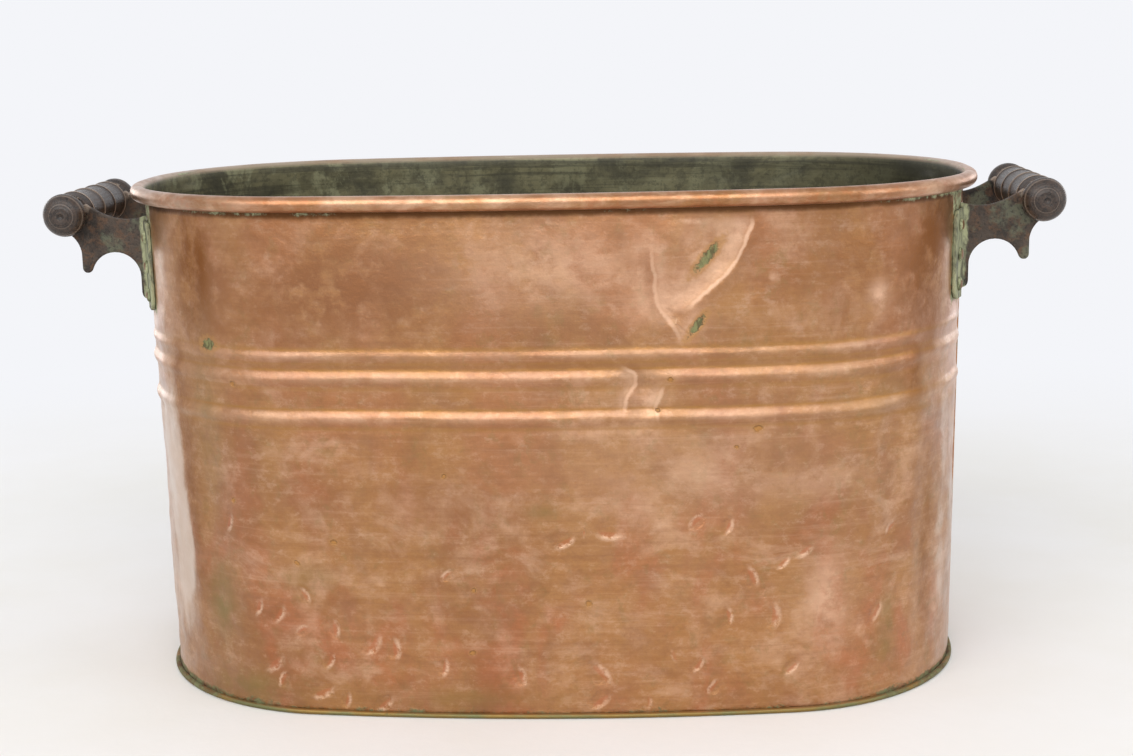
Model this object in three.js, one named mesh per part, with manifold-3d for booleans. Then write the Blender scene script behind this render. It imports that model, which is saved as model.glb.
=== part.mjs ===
// Oval copper wash boiler, open at the top. Two half walls of sheet copper are joined by a folded
// seam down the middle of each round end, their rim is rolled over a wire, and the bottom's edge is
// folded over their foot. A turned wooden grip spins in two riveted iron ears at each end.
//
// Millimetres. X runs along the boiler, -Y is its front, +Z is up. The origin is on the surface that
// the boiler stands on, under its middle.

import * as THREE from 'three';
import { mergeVertices } from 'three/addons/utils/BufferGeometryUtils.js';
import Module from 'manifold-3d';

const wasm = await Module();
wasm.setup();

// Tub, over the outside of the rolled rim
const RIM_LENGTH = 560;
const RIM_WIDTH = 320;
const HEIGHT = 330;
const SIDE_RADIUS = 1300; // the long sides bow out a little
const SEAM_FLAT = 16; // flat stretch at the middle of each end, which carries the lock seam
const WALL_DRAFT = 3.4; // the wall stands this much further in at its foot than at the rim

// Sheet, wire and the gap between pieces that touch on the real boiler
const SHEET = 0.8;
const WIRE_DIAMETER = 8;
const CLEARANCE = 0.3;

// Beads pressed outwards round the wall, named from the foot up
const BEAD_WIDTH = 12;
const BEAD_HEIGHT = 1.8;
const TOP_BEAD_WIDTH = 9;
const TOP_BEAD_HEIGHT = 1;
const BEAD_BAND = 13; // plain band between the lower and the middle bead
const BEAD_GAP = 3.5; // between the middle and the top bead
const BEAD_TO_EAR = 12.5; // from the top bead up to the ears' flanges

// Bottom, folded over the wall's foot
const FOOT_FLANGE = 1.4; // how far the wall's foot turns out
const FOLD_GAP = 0.3; // between the folded edge and the wall
const REST_WIDTH = 9; // flat ring that the boiler stands on
const PANEL_RISE = 3; // the middle of the bottom is set up off the floor
const PANEL_SLOPE = 4; // width of the step up to it

// Lock seams
const SEAM_REACH = 4; // from the middle of the seam to the front half's fold
const SEAM_HOOK = 3; // from the middle of the seam to the front half's edge
const SEAM_REBATE = 0.05; // the folds are hammered this much thinner than the sheet on each face
const SEAM_OVERLAP = 6; // where the front's fold joins its wall
const SEAM_FROM_FOOT = 6;
const SEAM_FROM_ROLL = 4;

// Ears
const EAR_SPACING = 92; // from ear to ear along a grip
const EAR_THICKNESS = 3;
const EAR_BELOW_ROLL = 10; // from the underside of the rolled rim to the ear's top edge
const EAR_DIP = 7.5; // how deep the top edge's curve is pulled down
const EAR_EYE_WIDTH = 4.6; // metal round the grip's neck
const EYE_CLEARANCE = 0.6;
const EYE_GAP_START = 125; // degrees from the outward direction: the eye is bent shut, not closed
const EYE_GAP_END = 150;
const EAR_TIP_RADIUS = 3.3; // the round tip that hangs below the eye
const EAR_TIP_DROP = 37; // tip's centre below the grip's axis
const EAR_TIP_INSET = 9.6; // and inboard of it
const EAR_BLEND_DROP = 27.5; // where the outer edge starts to curve up to the eye
const EAR_ARCH_DROP = 6.3; // arch's centre below the tip's
const EAR_LEG_WIDTH = 6;
const EAR_LEG_RADIUS = 4;
const EAR_LEG_LIFT = 6; // the leg ends this much above the flange's lower end

// Ear flanges, which lie on a flattened stretch of the wall
const FLANGE_WIDTH = 20;
const FLANGE_HEIGHT = 58;
const FLANGE_THICKNESS = 2.5;
const FLANGE_BELOW_EAR = 3.5; // from the ear's top edge to the flange's
const FLANGE_TOP_RADIUS = 5;
const FLANGE_FOOT_RADIUS = 10;
const FACET_MARGIN = 1.5;

// Rivets
const RIVET_RADIUS = 2.4;
const RIVET_SPACING = 19;
const RIVET_HEAD_RADIUS = 4.5;
const RIVET_HEAD_HEIGHT = 2.2;
const RIVET_TAIL_HEIGHT = 1.4; // the end hammered over inside the wall

// Grips
const GRIP_REACH = 35.5; // from the rim's outer edge out to the grip's axis
const GRIP_DROP = 18.5; // from the rim's top down to the grip's axis
const NECK_RADIUS = 7.5;
const NECK_PLAY = 1; // on each side of the ear
const KNOB_RADIUS = 14.2;
const KNOB_LENGTH = 18;
const KNOB_SHOULDER = 60; // degrees that the knob's curve reaches back towards the neck
const PIT_RADIUS = 3; // lathe centre's mark in the knob's end
const PIT_DEPTH = 1.5;
const BARREL_RADIUS = 13;
const BARREL_END_RADIUS = 11.4;
const BARREL_SHOULDER = 2; // the barrel steps down to the neck over this length
const BARREL_TAPER = 5; // and starts to narrow this far from it
const RING_HEIGHT = 0.8;
const RING_WIDTH = 3;
const RING_CREST = 1.4;
const RING_MARGIN = 1; // from the last ring to where the barrel narrows
const RINGS = 4;

// Facets
const END_STEPS = 6; // round end, from the ear's flange to the side
const SEAM_STEPS = 2; // round end, from the seam to the ear's flange
const SIDE_STEPS = 2; // half of a long side
const CURL_STEPS = 9;
const WIRE_SIDES = 6;
const RIVET_SIDES = 10;
const RIVET_DOME_STEPS = 2;
const GRIP_SIDES = 16;
const KNOB_STEPS = 6;
const FOLD_STEPS = 4;
const EAR_ARC_STEPS = 4;

// Sizes that follow
const halfLength = RIM_LENGTH / 2;
const halfWidth = RIM_WIDTH / 2;
const halfFlat = SEAM_FLAT / 2;
const curlRadius = WIRE_DIAMETER / 2 + CLEARANCE + SHEET / 2; // to the middle of the sheet
const rollRadius = curlRadius + SHEET / 2;
const rollHeight = HEIGHT - rollRadius;
const rollUnderside = HEIGHT - 2 * rollRadius;
const layer = SHEET + CLEARANCE;
const gripX = halfLength + GRIP_REACH;
const gripZ = HEIGHT - GRIP_DROP;
const earY = EAR_SPACING / 2;
const earTop = rollUnderside - EAR_BELOW_ROLL;
const flangeTop = earTop - FLANGE_BELOW_EAR;
const flangeFoot = flangeTop - FLANGE_HEIGHT;
const flangeMiddle = flangeTop - FLANGE_HEIGHT / 2;
const foldHeight = SHEET / 2 + layer; // middle of the wall's foot flange
const riveted = SHEET + FLANGE_THICKNESS + 3 * CLEARANCE; // between a rivet's tail and its head
const neckStart = earY - EAR_THICKNESS / 2 - NECK_PLAY;
const neckEnd = earY + EAR_THICKNESS / 2 + NECK_PLAY;

// Plan of the rim: a flat at the seam, a round end and a bowed side that meet tangentially
const sideCentre = SIDE_RADIUS - halfWidth;
const flatToSide = sideCentre + halfFlat;
const endRadius = (SIDE_RADIUS ** 2 - flatToSide ** 2 - halfLength ** 2) / (2 * (SIDE_RADIUS - halfLength));
const endCentreX = halfLength - endRadius;
const sideTurn = Math.atan2(endCentreX, flatToSide);
const endTurn = Math.PI / 2 - sideTurn;

// The middle of the wall's sheet, as a distance in from the rim's outline
const draftPerHeight = WALL_DRAFT / rollHeight;
function wallInset(z) {
  return 2 * rollRadius - SHEET / 2 + (rollHeight - z) * draftPerHeight;
}

// Each ear's flange lies on one flat facet of the round end
const wallRadiusAtEar = endRadius - wallInset(flangeMiddle) + SHEET / 2;
const facetStart = Math.asin((earY - EAR_THICKNESS / 2 - FACET_MARGIN - halfFlat) / wallRadiusAtEar);
const facetChord = EAR_THICKNESS + FLANGE_WIDTH + 2 * FACET_MARGIN;
const facetTurn = 2 * Math.asin(facetChord / (2 * wallRadiusAtEar));
const facetMiddle = facetStart + facetTurn / 2;

// A station is a point of the rim's outline with its outward normal. turn is measured from the seam
// at the right-hand end towards the front. bead is how far the beads have risen there.
function endStation(turn, bead) {
  const normal = new THREE.Vector2(Math.cos(turn), -Math.sin(turn));
  const point = new THREE.Vector2(endCentreX, -halfFlat).addScaledVector(normal, endRadius);
  return { point, normal, bead };
}

function sideStation(turn) {
  const normal = new THREE.Vector2(Math.sin(turn), -Math.cos(turn));
  const point = new THREE.Vector2(0, sideCentre).addScaledVector(normal, SIDE_RADIUS);
  return { point, normal, bead: 1 };
}

// From the seam to just short of the middle of the front
function frontRightStations() {
  const stations = [];
  for (let i = 0; i < SEAM_STEPS; i++) {
    stations.push(endStation((facetStart * i) / SEAM_STEPS, i / SEAM_STEPS));
  }
  const facetEnd = facetStart + facetTurn;
  stations.push(endStation(facetStart, 1));
  for (let i = 0; i < END_STEPS; i++) {
    stations.push(endStation(THREE.MathUtils.lerp(facetEnd, endTurn, i / END_STEPS), 1));
  }
  for (let i = 0; i < SIDE_STEPS; i++) {
    stations.push(sideStation(sideTurn * (1 - i / SIDE_STEPS)));
  }
  return stations;
}

function mirroredStation({ point, normal, bead }, sx, sy) {
  return {
    point: new THREE.Vector2(point.x * sx, point.y * sy),
    normal: new THREE.Vector2(normal.x * sx, normal.y * sy),
    bead,
  };
}

// Clockwise seen from above, from the right-hand seam over the front to the left-hand seam
function frontStations() {
  const right = frontRightStations();
  const left = right.map((station) => mirroredStation(station, -1, 1)).reverse();
  return [...right, sideStation(0), ...left];
}

// All the way round, anticlockwise
function loopStations() {
  const front = frontStations();
  const back = front.map((station) => mirroredStation(station, -1, -1));
  return [...front, ...back].reverse();
}

// A point of the tub at a station, inset from the rim's outline, at a height
function tubPoint(station, inset, z) {
  const { point, normal } = station;
  return new THREE.Vector3(point.x - normal.x * inset, point.y - normal.y * inset, z);
}

// Outline of a bent sheet, from the line that its middle follows
function sheetOutline(middle, thickness) {
  const left = [];
  const right = [];
  middle.forEach((point, i) => {
    const before = middle[Math.max(i - 1, 0)];
    const after = middle[Math.min(i + 1, middle.length - 1)];
    const arriving = new THREE.Vector2().subVectors(point, before).normalize();
    const leaving = new THREE.Vector2().subVectors(after, point).normalize();
    const along = new THREE.Vector2().addVectors(arriving, leaving).normalize();
    const straight = arriving.lengthSq() > 0 ? arriving : leaving;
    const side = new THREE.Vector2(-along.y, along.x);
    const reach = thickness / 2 / along.dot(straight);
    left.push(point.clone().addScaledVector(side, reach));
    right.push(point.clone().addScaledVector(side, -reach));
  });
  return [...left, ...right.reverse()];
}

// Skins a row of rings that all have as many points. The row is closed into a loop, unless endFaces
// gives the triangles of its two ends, which run round a ring the way its points do.
function loft(rings, endFaces) {
  const count = rings[0].length;
  const rows = endFaces ? rings.length - 1 : rings.length;
  const index = [];
  for (let i = 0; i < rows; i++) {
    const here = i * count;
    const next = ((i + 1) % rings.length) * count;
    for (let k = 0; k < count; k++) {
      const m = (k + 1) % count;
      index.push(here + k, next + m, next + k);
      index.push(here + k, here + m, next + m);
    }
  }
  if (endFaces) {
    const end = rows * count;
    endFaces(count).forEach(([a, b, c]) => {
      index.push(a, c, b);
      index.push(end + a, end + b, end + c);
    });
  }
  const geometry = new THREE.BufferGeometry().setFromPoints(rings.flat());
  geometry.setIndex(index);
  return geometry;
}

// End of a bent sheet: a strip between its two faces
function stripFaces(count) {
  const faces = [];
  for (let i = 0; i < count / 2 - 1; i++) {
    faces.push([i, i + 1, count - 2 - i]);
    faces.push([i, count - 2 - i, count - 1 - i]);
  }
  return faces;
}

// End bounded by a convex ring
function fanFaces(count) {
  const faces = [];
  for (let i = 1; i < count - 1; i++) {
    faces.push([0, i, i + 1]);
  }
  return faces;
}

// A copy that holds only places and faces, with each point once
function bare(geometry) {
  const copy = geometry.clone();
  copy.deleteAttribute('normal');
  copy.deleteAttribute('uv');
  return mergeVertices(copy);
}

// Solids that are joined and cut
function solid(geometry) {
  const { attributes, index } = bare(geometry);
  return new wasm.Manifold(new wasm.Mesh({
    numProp: 3,
    vertProperties: new Float32Array(attributes.position.array),
    triVerts: new Uint32Array(index.array),
  }));
}

function geometryOf(body) {
  const mesh = body.getMesh();
  const geometry = new THREE.BufferGeometry();
  geometry.setAttribute('position', new THREE.BufferAttribute(mesh.vertProperties, 3));
  geometry.setIndex(new THREE.BufferAttribute(mesh.triVerts, 1));
  return geometry;
}

// A copy for another corner of the boiler: sx and sy are 1, or -1 to mirror it in X or Y
function mirrored(geometry, sx, sy) {
  const copy = bare(geometry).applyMatrix4(new THREE.Matrix4().makeScale(sx, sy, 1));
  if (sx * sy < 0) {
    const { array } = copy.index;
    for (let i = 0; i < array.length; i += 3) {
      [array[i], array[i + 1]] = [array[i + 1], array[i]];
    }
  }
  return copy;
}

// Middle of the wall's sheet from the curl's tail, over the roll and down to the foot's edge,
// as points of inset and height. bead scales the beads.
function wallMiddle(bead) {
  const curl = [];
  const innerRadius = curlRadius - SHEET / 2;
  const tail = -Math.PI + Math.acos((innerRadius - CLEARANCE) / rollRadius);
  for (let i = 0; i <= CURL_STEPS; i++) {
    const angle = THREE.MathUtils.lerp(tail, Math.PI, i / CURL_STEPS);
    curl.push(new THREE.Vector2(
      rollRadius - curlRadius * Math.cos(angle),
      rollHeight + curlRadius * Math.sin(angle),
    ));
  }
  const foot = wallInset(foldHeight);
  const footEdge = foot - SHEET / 2 - FOOT_FLANGE;
  return [
    ...curl,
    ...beadPoints(bead),
    new THREE.Vector2(foot, foldHeight),
    new THREE.Vector2(footEdge, foldHeight),
  ];
}

function beadPoints(scale) {
  const topBead = flangeFoot - BEAD_TO_EAR - TOP_BEAD_WIDTH / 2;
  const middleBead = topBead - (TOP_BEAD_WIDTH + BEAD_WIDTH) / 2 - BEAD_GAP;
  const lowerBead = middleBead - BEAD_WIDTH - BEAD_BAND;
  const beads = [
    { z: topBead, width: TOP_BEAD_WIDTH, height: TOP_BEAD_HEIGHT },
    { z: middleBead, width: BEAD_WIDTH, height: BEAD_HEIGHT },
    { z: lowerBead, width: BEAD_WIDTH, height: BEAD_HEIGHT },
  ];
  const across = [-1, -0.5, 0, 0.5, 1];
  return beads.flatMap(({ z, width, height }) => across.map((share) => {
    const pointZ = z - (share * width) / 2;
    const proud = (scale * height * (1 + Math.cos(share * Math.PI))) / 2;
    return new THREE.Vector2(wallInset(pointZ) - proud, pointZ);
  }));
}

// The front half of the wall, without its seams and rivet holes
function halfWall() {
  const [first, ...others] = frontStations();
  const edge = { ...first, point: new THREE.Vector2(halfLength, -CLEARANCE / 2) };
  const last = mirroredStation(edge, -1, 1);
  const rings = [edge, first, ...others, last].map((station) => {
    const outline = sheetOutline(wallMiddle(station.bead), SHEET);
    return outline.map(({ x, y }) => tubPoint(station, x, y));
  });
  return loft(rings, stripFaces);
}

// The lock seam at the right-hand end is four layers of sheet, counted outwards from the wall.
// Here, w is outwards from the wall's outer face, and s is from the middle of the seam to the back.
const firstLayer = -SHEET / 2;
const secondLayer = firstLayer + layer;
const thirdLayer = secondLayer + layer;
const fourthLayer = thirdLayer + layer;
const seamTop = rollUnderside - SEAM_FROM_ROLL;

function foldedEdge(middle) {
  const points = middle.map(([w, s]) => new THREE.Vector2(w, s));
  const outline = new THREE.Shape(sheetOutline(points, SHEET - 2 * SEAM_REBATE));
  const strip = new THREE.ExtrudeGeometry(outline, { depth: seamTop - SEAM_FROM_FOOT, bevelEnabled: false });
  const wallFace = halfLength - wallInset(SEAM_FROM_FOOT) + SHEET / 2;
  const leaning = new THREE.Matrix4().set(
    1, 0, draftPerHeight, wallFace,
    0, 1, 0, 0,
    0, 0, 1, SEAM_FROM_FOOT,
    0, 0, 0, 1,
  );
  return strip.applyMatrix4(leaning);
}

function frontFold() {
  return foldedEdge([
    [firstLayer, -SEAM_OVERLAP],
    [firstLayer, SEAM_REACH],
    [thirdLayer, SEAM_REACH],
    [thirdLayer, -SEAM_HOOK],
  ]);
}

function backFold() {
  const jog = SEAM_REACH + layer;
  const turn = -SEAM_HOOK - layer + SHEET / 2;
  return foldedEdge([
    [firstLayer, halfFlat - SEAM_REBATE],
    [firstLayer, jog],
    [fourthLayer, jog],
    [fourthLayer, turn],
    [secondLayer, turn],
    [secondLayer, SEAM_REACH - layer + SHEET / 2],
  ]);
}

// The stretch of the back's wall that gives way to the front's fold
function foldRoom() {
  const inset = wallInset(0);
  const width = SEAM_REACH + layer;
  const height = seamTop - SEAM_FROM_FOOT + 2 * CLEARANCE;
  const room = new THREE.BoxGeometry(inset, width, height);
  return room.translate(halfLength - inset, width / 2, (seamTop + SEAM_FROM_FOOT) / 2);
}

// Puts a shape made on the wall's outer face at the right-hand front ear: x towards the grip's
// middle, y up, z outwards
const facetDistance = wallRadiusAtEar * Math.cos(facetTurn / 2);
function onFacet() {
  const outward = new THREE.Vector3(Math.cos(facetMiddle), -Math.sin(facetMiddle), 0);
  const lean = draftPerHeight * Math.cos(facetTurn / 2);
  const across = new THREE.Vector3(-outward.y, outward.x, 0);
  const up = new THREE.Vector3(0, 0, 1).addScaledVector(outward, lean).normalize();
  const normal = new THREE.Vector3().crossVectors(across, up);
  const origin = new THREE.Vector3(endCentreX, -halfFlat, flangeMiddle);
  origin.addScaledVector(outward, facetDistance);
  return new THREE.Matrix4().makeBasis(across, up, normal).setPosition(origin);
}

// Along the facet, from its middle: the ear's own plane and the flange's free edge
const facetY = halfFlat + facetDistance * Math.sin(facetMiddle);
const plateOnFacet = (facetY - earY) / Math.cos(facetMiddle);
const flangeEdge = -facetChord / 2 + FACET_MARGIN;
const rivetX = (plateOnFacet - EAR_THICKNESS / 2 + flangeEdge) / 2;
const rivetRows = { upper: RIVET_SPACING, middle: 0, lower: -RIVET_SPACING };

// Turns a revolved or extruded shape's Y axis outwards and sets it at a rivet's place
function atRivet(geometry, row) {
  return geometry.rotateX(Math.PI / 2).translate(rivetX, row, 0).applyMatrix4(onFacet());
}

// Drilled through the wall and an ear's flange, with length to spare at both ends
function rivetHoles() {
  const radius = RIVET_RADIUS + CLEARANCE;
  return Object.values(rivetRows).map((row) => {
    const hole = new THREE.CylinderGeometry(radius, radius, 2 * riveted, RIVET_SIDES);
    return atRivet(hole, row);
  });
}

// Profile of a rivet's domed end, from its edge to the axis
function rivetDome(seat, height) {
  const points = [];
  for (let i = 0; i <= RIVET_DOME_STEPS; i++) {
    const angle = (Math.PI / 2) * (i / RIVET_DOME_STEPS);
    points.push(new THREE.Vector2(RIVET_HEAD_RADIUS * Math.cos(angle), seat + height * Math.sin(angle)));
  }
  return points;
}

function rivet(row) {
  const tail = -SHEET - CLEARANCE;
  const head = tail + riveted;
  const profile = [
    ...rivetDome(tail, -RIVET_TAIL_HEIGHT).reverse(),
    new THREE.Vector2(RIVET_RADIUS, tail),
    new THREE.Vector2(RIVET_RADIUS, head),
    ...rivetDome(head, RIVET_HEAD_HEIGHT),
  ];
  return atRivet(new THREE.LatheGeometry(profile, RIVET_SIDES), row);
}

// Outline of an ear's plate, outwards and up from the grip's axis
function earOutline() {
  const quarter = Math.PI / 2;
  const eyeRadius = NECK_RADIUS + EYE_CLEARANCE;
  const outerRadius = eyeRadius + EAR_EYE_WIDTH;
  const wall = endCentreX + Math.sqrt(wallRadiusAtEar ** 2 - (earY - halfFlat) ** 2) - gripX;
  const insideWall = wall - EAR_LEG_WIDTH;
  const legEdge = wall + EAR_LEG_WIDTH;
  const legFoot = flangeFoot + EAR_LEG_LIFT - gripZ;
  const tip = new THREE.Vector2(-EAR_TIP_INSET, -EAR_TIP_DROP);

  // The arch touches the leg and the tip, and the outer edge's curve touches the eye
  const span = tip.x - legEdge;
  const archReach = span ** 2 + EAR_ARCH_DROP ** 2 - EAR_TIP_RADIUS ** 2;
  const archRadius = archReach / (2 * (span + EAR_TIP_RADIUS));
  const arch = new THREE.Vector2(legEdge + archRadius, tip.y - EAR_ARCH_DROP);
  const archEnd = Math.atan2(tip.y - arch.y, tip.x - arch.x);
  const outerEdge = tip.x + EAR_TIP_RADIUS;
  const blendReach = outerEdge ** 2 + EAR_BLEND_DROP ** 2 - outerRadius ** 2;
  const blendRadius = blendReach / (2 * (outerRadius - outerEdge));
  const blend = new THREE.Vector2(outerEdge + blendRadius, -EAR_BLEND_DROP);
  const blendEnd = Math.atan2(blend.y, blend.x);

  const gapStart = THREE.MathUtils.degToRad(EYE_GAP_START);
  const gapEnd = THREE.MathUtils.degToRad(EYE_GAP_END);
  const eyeBack = (gapStart + gapEnd) / 2 - Math.PI;
  const top = earTop - gripZ;
  const outline = new THREE.Shape();
  outline.moveTo(insideWall, legFoot);
  outline.absarc(legEdge - EAR_LEG_RADIUS, legFoot + EAR_LEG_RADIUS, EAR_LEG_RADIUS, -quarter, 0, false);
  outline.absarc(arch.x, arch.y, archRadius, Math.PI, archEnd, true);
  outline.absarc(tip.x, tip.y, EAR_TIP_RADIUS, archEnd - Math.PI, 0, false);
  outline.absarc(blend.x, blend.y, blendRadius, Math.PI, blendEnd + Math.PI, true);
  outline.absarc(0, 0, outerRadius, blendEnd, gapStart, false);
  outline.absarc(0, 0, eyeRadius, gapStart, eyeBack, true);
  outline.absarc(0, 0, eyeRadius, eyeBack, gapEnd, true);
  outline.lineTo(outerRadius * Math.cos(gapEnd), outerRadius * Math.sin(gapEnd));
  outline.quadraticCurveTo((wall - outerRadius) / 2, top - EAR_DIP, wall, top);
  outline.lineTo(insideWall, top);
  return outline;
}

function flangeOutline() {
  const quarter = Math.PI / 2;
  const high = FLANGE_HEIGHT / 2;
  const topRound = [flangeEdge + FLANGE_TOP_RADIUS, high - FLANGE_TOP_RADIUS, FLANGE_TOP_RADIUS];
  const footRound = [flangeEdge + FLANGE_FOOT_RADIUS, FLANGE_FOOT_RADIUS - high, FLANGE_FOOT_RADIUS];
  const outline = new THREE.Shape();
  outline.moveTo(plateOnFacet, -high);
  outline.lineTo(plateOnFacet, high);
  outline.absarc(...topRound, quarter, 2 * quarter, false);
  outline.absarc(...footRound, 2 * quarter, 3 * quarter, false);
  return outline;
}

// The right-hand front ear: a plate across the grip's axis and a flange, trimmed to the wall
function ear() {
  const curves = { bevelEnabled: false, curveSegments: EAR_ARC_STEPS };
  const plate = new THREE.ExtrudeGeometry(earOutline(), { depth: EAR_THICKNESS, ...curves });
  plate.rotateX(Math.PI / 2).translate(gripX, EAR_THICKNESS / 2 - earY, gripZ);
  const flangeDepth = EAR_LEG_WIDTH + CLEARANCE + FLANGE_THICKNESS;
  const flange = new THREE.ExtrudeGeometry(flangeOutline(), { depth: flangeDepth, ...curves });
  flange.translate(0, 0, -EAR_LEG_WIDTH).applyMatrix4(onFacet());
  const trimSize = 2 * FLANGE_HEIGHT;
  const trim = new THREE.BoxGeometry(trimSize, trimSize, trimSize);
  trim.translate(0, 0, CLEARANCE - trimSize / 2).applyMatrix4(onFacet());
  let body = solid(plate).add(solid(flange)).subtract(solid(trim));
  rivetHoles().forEach((hole) => {
    body = body.subtract(solid(hole));
  });
  return geometryOf(body);
}

// One end of a grip, from the barrel's taper to the pit in the knob's end, as points of radius and
// distance from the grip's middle
function gripEnd() {
  const knobMiddle = neckEnd + KNOB_LENGTH / 2;
  const knobEnd = neckEnd + KNOB_LENGTH;
  const points = [
    [BARREL_RADIUS, neckStart - BARREL_TAPER],
    [BARREL_END_RADIUS, neckStart - BARREL_SHOULDER],
    [NECK_RADIUS, neckStart],
    [NECK_RADIUS, neckEnd],
  ];
  for (let i = 0; i < KNOB_STEPS; i++) {
    const angle = THREE.MathUtils.degToRad(THREE.MathUtils.lerp(-KNOB_SHOULDER, 90, i / KNOB_STEPS));
    points.push([KNOB_RADIUS * Math.cos(angle), knobMiddle + (KNOB_LENGTH / 2) * Math.sin(angle)]);
  }
  points.push([PIT_RADIUS, knobEnd]);
  points.push([0, knobEnd - PIT_DEPTH]);
  return points;
}

// Turned about Y, with its rings spread along the barrel
function grip() {
  const lastRing = neckStart - BARREL_TAPER - RING_MARGIN - RING_WIDTH / 2;
  const rings = [];
  for (let i = 0; i < RINGS; i++) {
    const middle = THREE.MathUtils.lerp(-lastRing, lastRing, i / (RINGS - 1));
    rings.push([BARREL_RADIUS, middle - RING_WIDTH / 2]);
    rings.push([BARREL_RADIUS + RING_HEIGHT, middle - RING_CREST / 2]);
    rings.push([BARREL_RADIUS + RING_HEIGHT, middle + RING_CREST / 2]);
    rings.push([BARREL_RADIUS, middle + RING_WIDTH / 2]);
  }
  const farEnd = gripEnd();
  const nearEnd = gripEnd().map(([radius, distance]) => [radius, -distance]).reverse();
  const profile = [...nearEnd, ...rings, ...farEnd].map(([x, y]) => new THREE.Vector2(x, y));
  return new THREE.LatheGeometry(profile, GRIP_SIDES).translate(gripX, 0, gripZ);
}

function rimWire() {
  const rings = loopStations().map((station) => {
    const ring = [];
    for (let i = 0; i < WIRE_SIDES; i++) {
      const angle = (2 * Math.PI * i) / WIRE_SIDES;
      const inset = rollRadius - (WIRE_DIAMETER / 2) * Math.cos(angle);
      ring.push(tubPoint(station, inset, rollHeight - (WIRE_DIAMETER / 2) * Math.sin(angle)));
    }
    return ring;
  });
  return loft(rings);
}

// The bottom, from its raised middle out to the rest ring and the edge folded over the foot
function bottomPan() {
  const low = SHEET / 2;
  const foot = wallInset(foldHeight) - SHEET / 2;
  const foldCentre = foot - FOOT_FLANGE;
  const rest = foldCentre + REST_WIDTH;
  const middle = [
    new THREE.Vector2(rest + 2 * PANEL_SLOPE, low + PANEL_RISE),
    new THREE.Vector2(rest + PANEL_SLOPE, low + PANEL_RISE),
    new THREE.Vector2(rest, low),
  ];
  for (let i = 0; i <= FOLD_STEPS; i++) {
    const angle = Math.PI * (i / FOLD_STEPS);
    const inset = foldCentre - layer * Math.sin(angle);
    middle.push(new THREE.Vector2(inset, foldHeight - layer * Math.cos(angle)));
  }
  middle.push(new THREE.Vector2(foot - FOLD_GAP, foldHeight + layer));
  const stations = loopStations();
  const ringAt = ({ x, y }) => stations.map((station) => tubPoint(station, x, y));
  return loft(sheetOutline(middle, SHEET).map(ringAt), fanFaces);
}

// Materials
const copper = { color: 0xa8713f, roughness: 0.38, metalness: 1 };
const iron = { color: 0x4a433c, roughness: 0.75, metalness: 0.6 };
const steel = { color: 0x8a8a88, roughness: 0.5, metalness: 1 };
const wood = { color: 0x3b2f2a, roughness: 0.6, metalness: 0 };

const boiler = new THREE.Group();

function addPiece(name, geometry, finish) {
  const piece = new THREE.Mesh(geometry, new THREE.MeshStandardMaterial(finish));
  piece.name = name;
  boiler.add(piece);
}

const corners = {
  left_front: [-1, 1],
  right_front: [1, 1],
  left_rear: [-1, -1],
  right_rear: [1, -1],
};

let drilledWall = solid(halfWall());
rivetHoles().forEach((hole) => {
  drilledWall = drilledWall.subtract(solid(hole)).subtract(solid(mirrored(hole, -1, 1)));
});

const frontShell = drilledWall
  .add(solid(frontFold()))
  .add(solid(mirrored(frontFold(), -1, 1)));
const backShell = solid(geometryOf(drilledWall).rotateZ(Math.PI))
  .subtract(solid(foldRoom()))
  .subtract(solid(mirrored(foldRoom(), -1, 1)))
  .add(solid(backFold()))
  .add(solid(mirrored(backFold(), -1, 1)));

addPiece('front_shell', geometryOf(frontShell), copper);
addPiece('back_shell', geometryOf(backShell), copper);
addPiece('bottom_pan', bottomPan(), copper);
addPiece('rim_wire', rimWire(), steel);
addPiece('left_grip', mirrored(grip(), -1, 1), wood);
addPiece('right_grip', grip(), wood);
for (const [corner, [sx, sy]] of Object.entries(corners)) {
  addPiece(`${corner}_ear`, mirrored(ear(), sx, sy), iron);
  for (const [row, height] of Object.entries(rivetRows)) {
    addPiece(`${corner}_rivet_${row}`, mirrored(rivet(height), sx, sy), copper);
  }
}

export default boiler;
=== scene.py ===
# Oval copper wash boiler: two dented copper walls with pressed beads and a rim rolled over a wire, a
# bottom folded over their foot, four iron ears, twelve rivets and two turned wooden grips.
#
# Metres. X runs along the boiler, -Y is its front and +Z is up. The origin is on the floor under the
# boiler's middle.

import math

import bpy
from mathutils import Matrix, Vector, noise


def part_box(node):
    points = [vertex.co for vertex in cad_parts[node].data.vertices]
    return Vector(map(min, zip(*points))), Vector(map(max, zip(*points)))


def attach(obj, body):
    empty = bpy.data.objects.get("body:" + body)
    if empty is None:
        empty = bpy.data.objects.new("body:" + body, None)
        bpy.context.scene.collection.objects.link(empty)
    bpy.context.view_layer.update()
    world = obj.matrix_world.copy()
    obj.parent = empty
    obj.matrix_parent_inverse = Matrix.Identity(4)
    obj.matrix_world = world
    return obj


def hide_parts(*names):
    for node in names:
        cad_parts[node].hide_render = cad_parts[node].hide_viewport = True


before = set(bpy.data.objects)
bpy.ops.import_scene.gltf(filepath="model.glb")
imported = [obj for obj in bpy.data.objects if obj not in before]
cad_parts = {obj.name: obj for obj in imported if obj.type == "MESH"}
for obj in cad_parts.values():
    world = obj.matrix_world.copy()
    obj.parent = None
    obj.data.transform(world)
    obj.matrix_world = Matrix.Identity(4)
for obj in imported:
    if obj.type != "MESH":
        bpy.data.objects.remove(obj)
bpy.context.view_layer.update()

bl_info = {
    "name": "Copper Wash Boiler",
    "version": (1, 0, 0),
    "blender": (4, 5, 0),
    "location": "3D View > Sidebar > Boiler",
    "description": "Builds an oval copper wash boiler and the plain studio that it stands in",
    "category": "Add Mesh",
}

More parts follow.
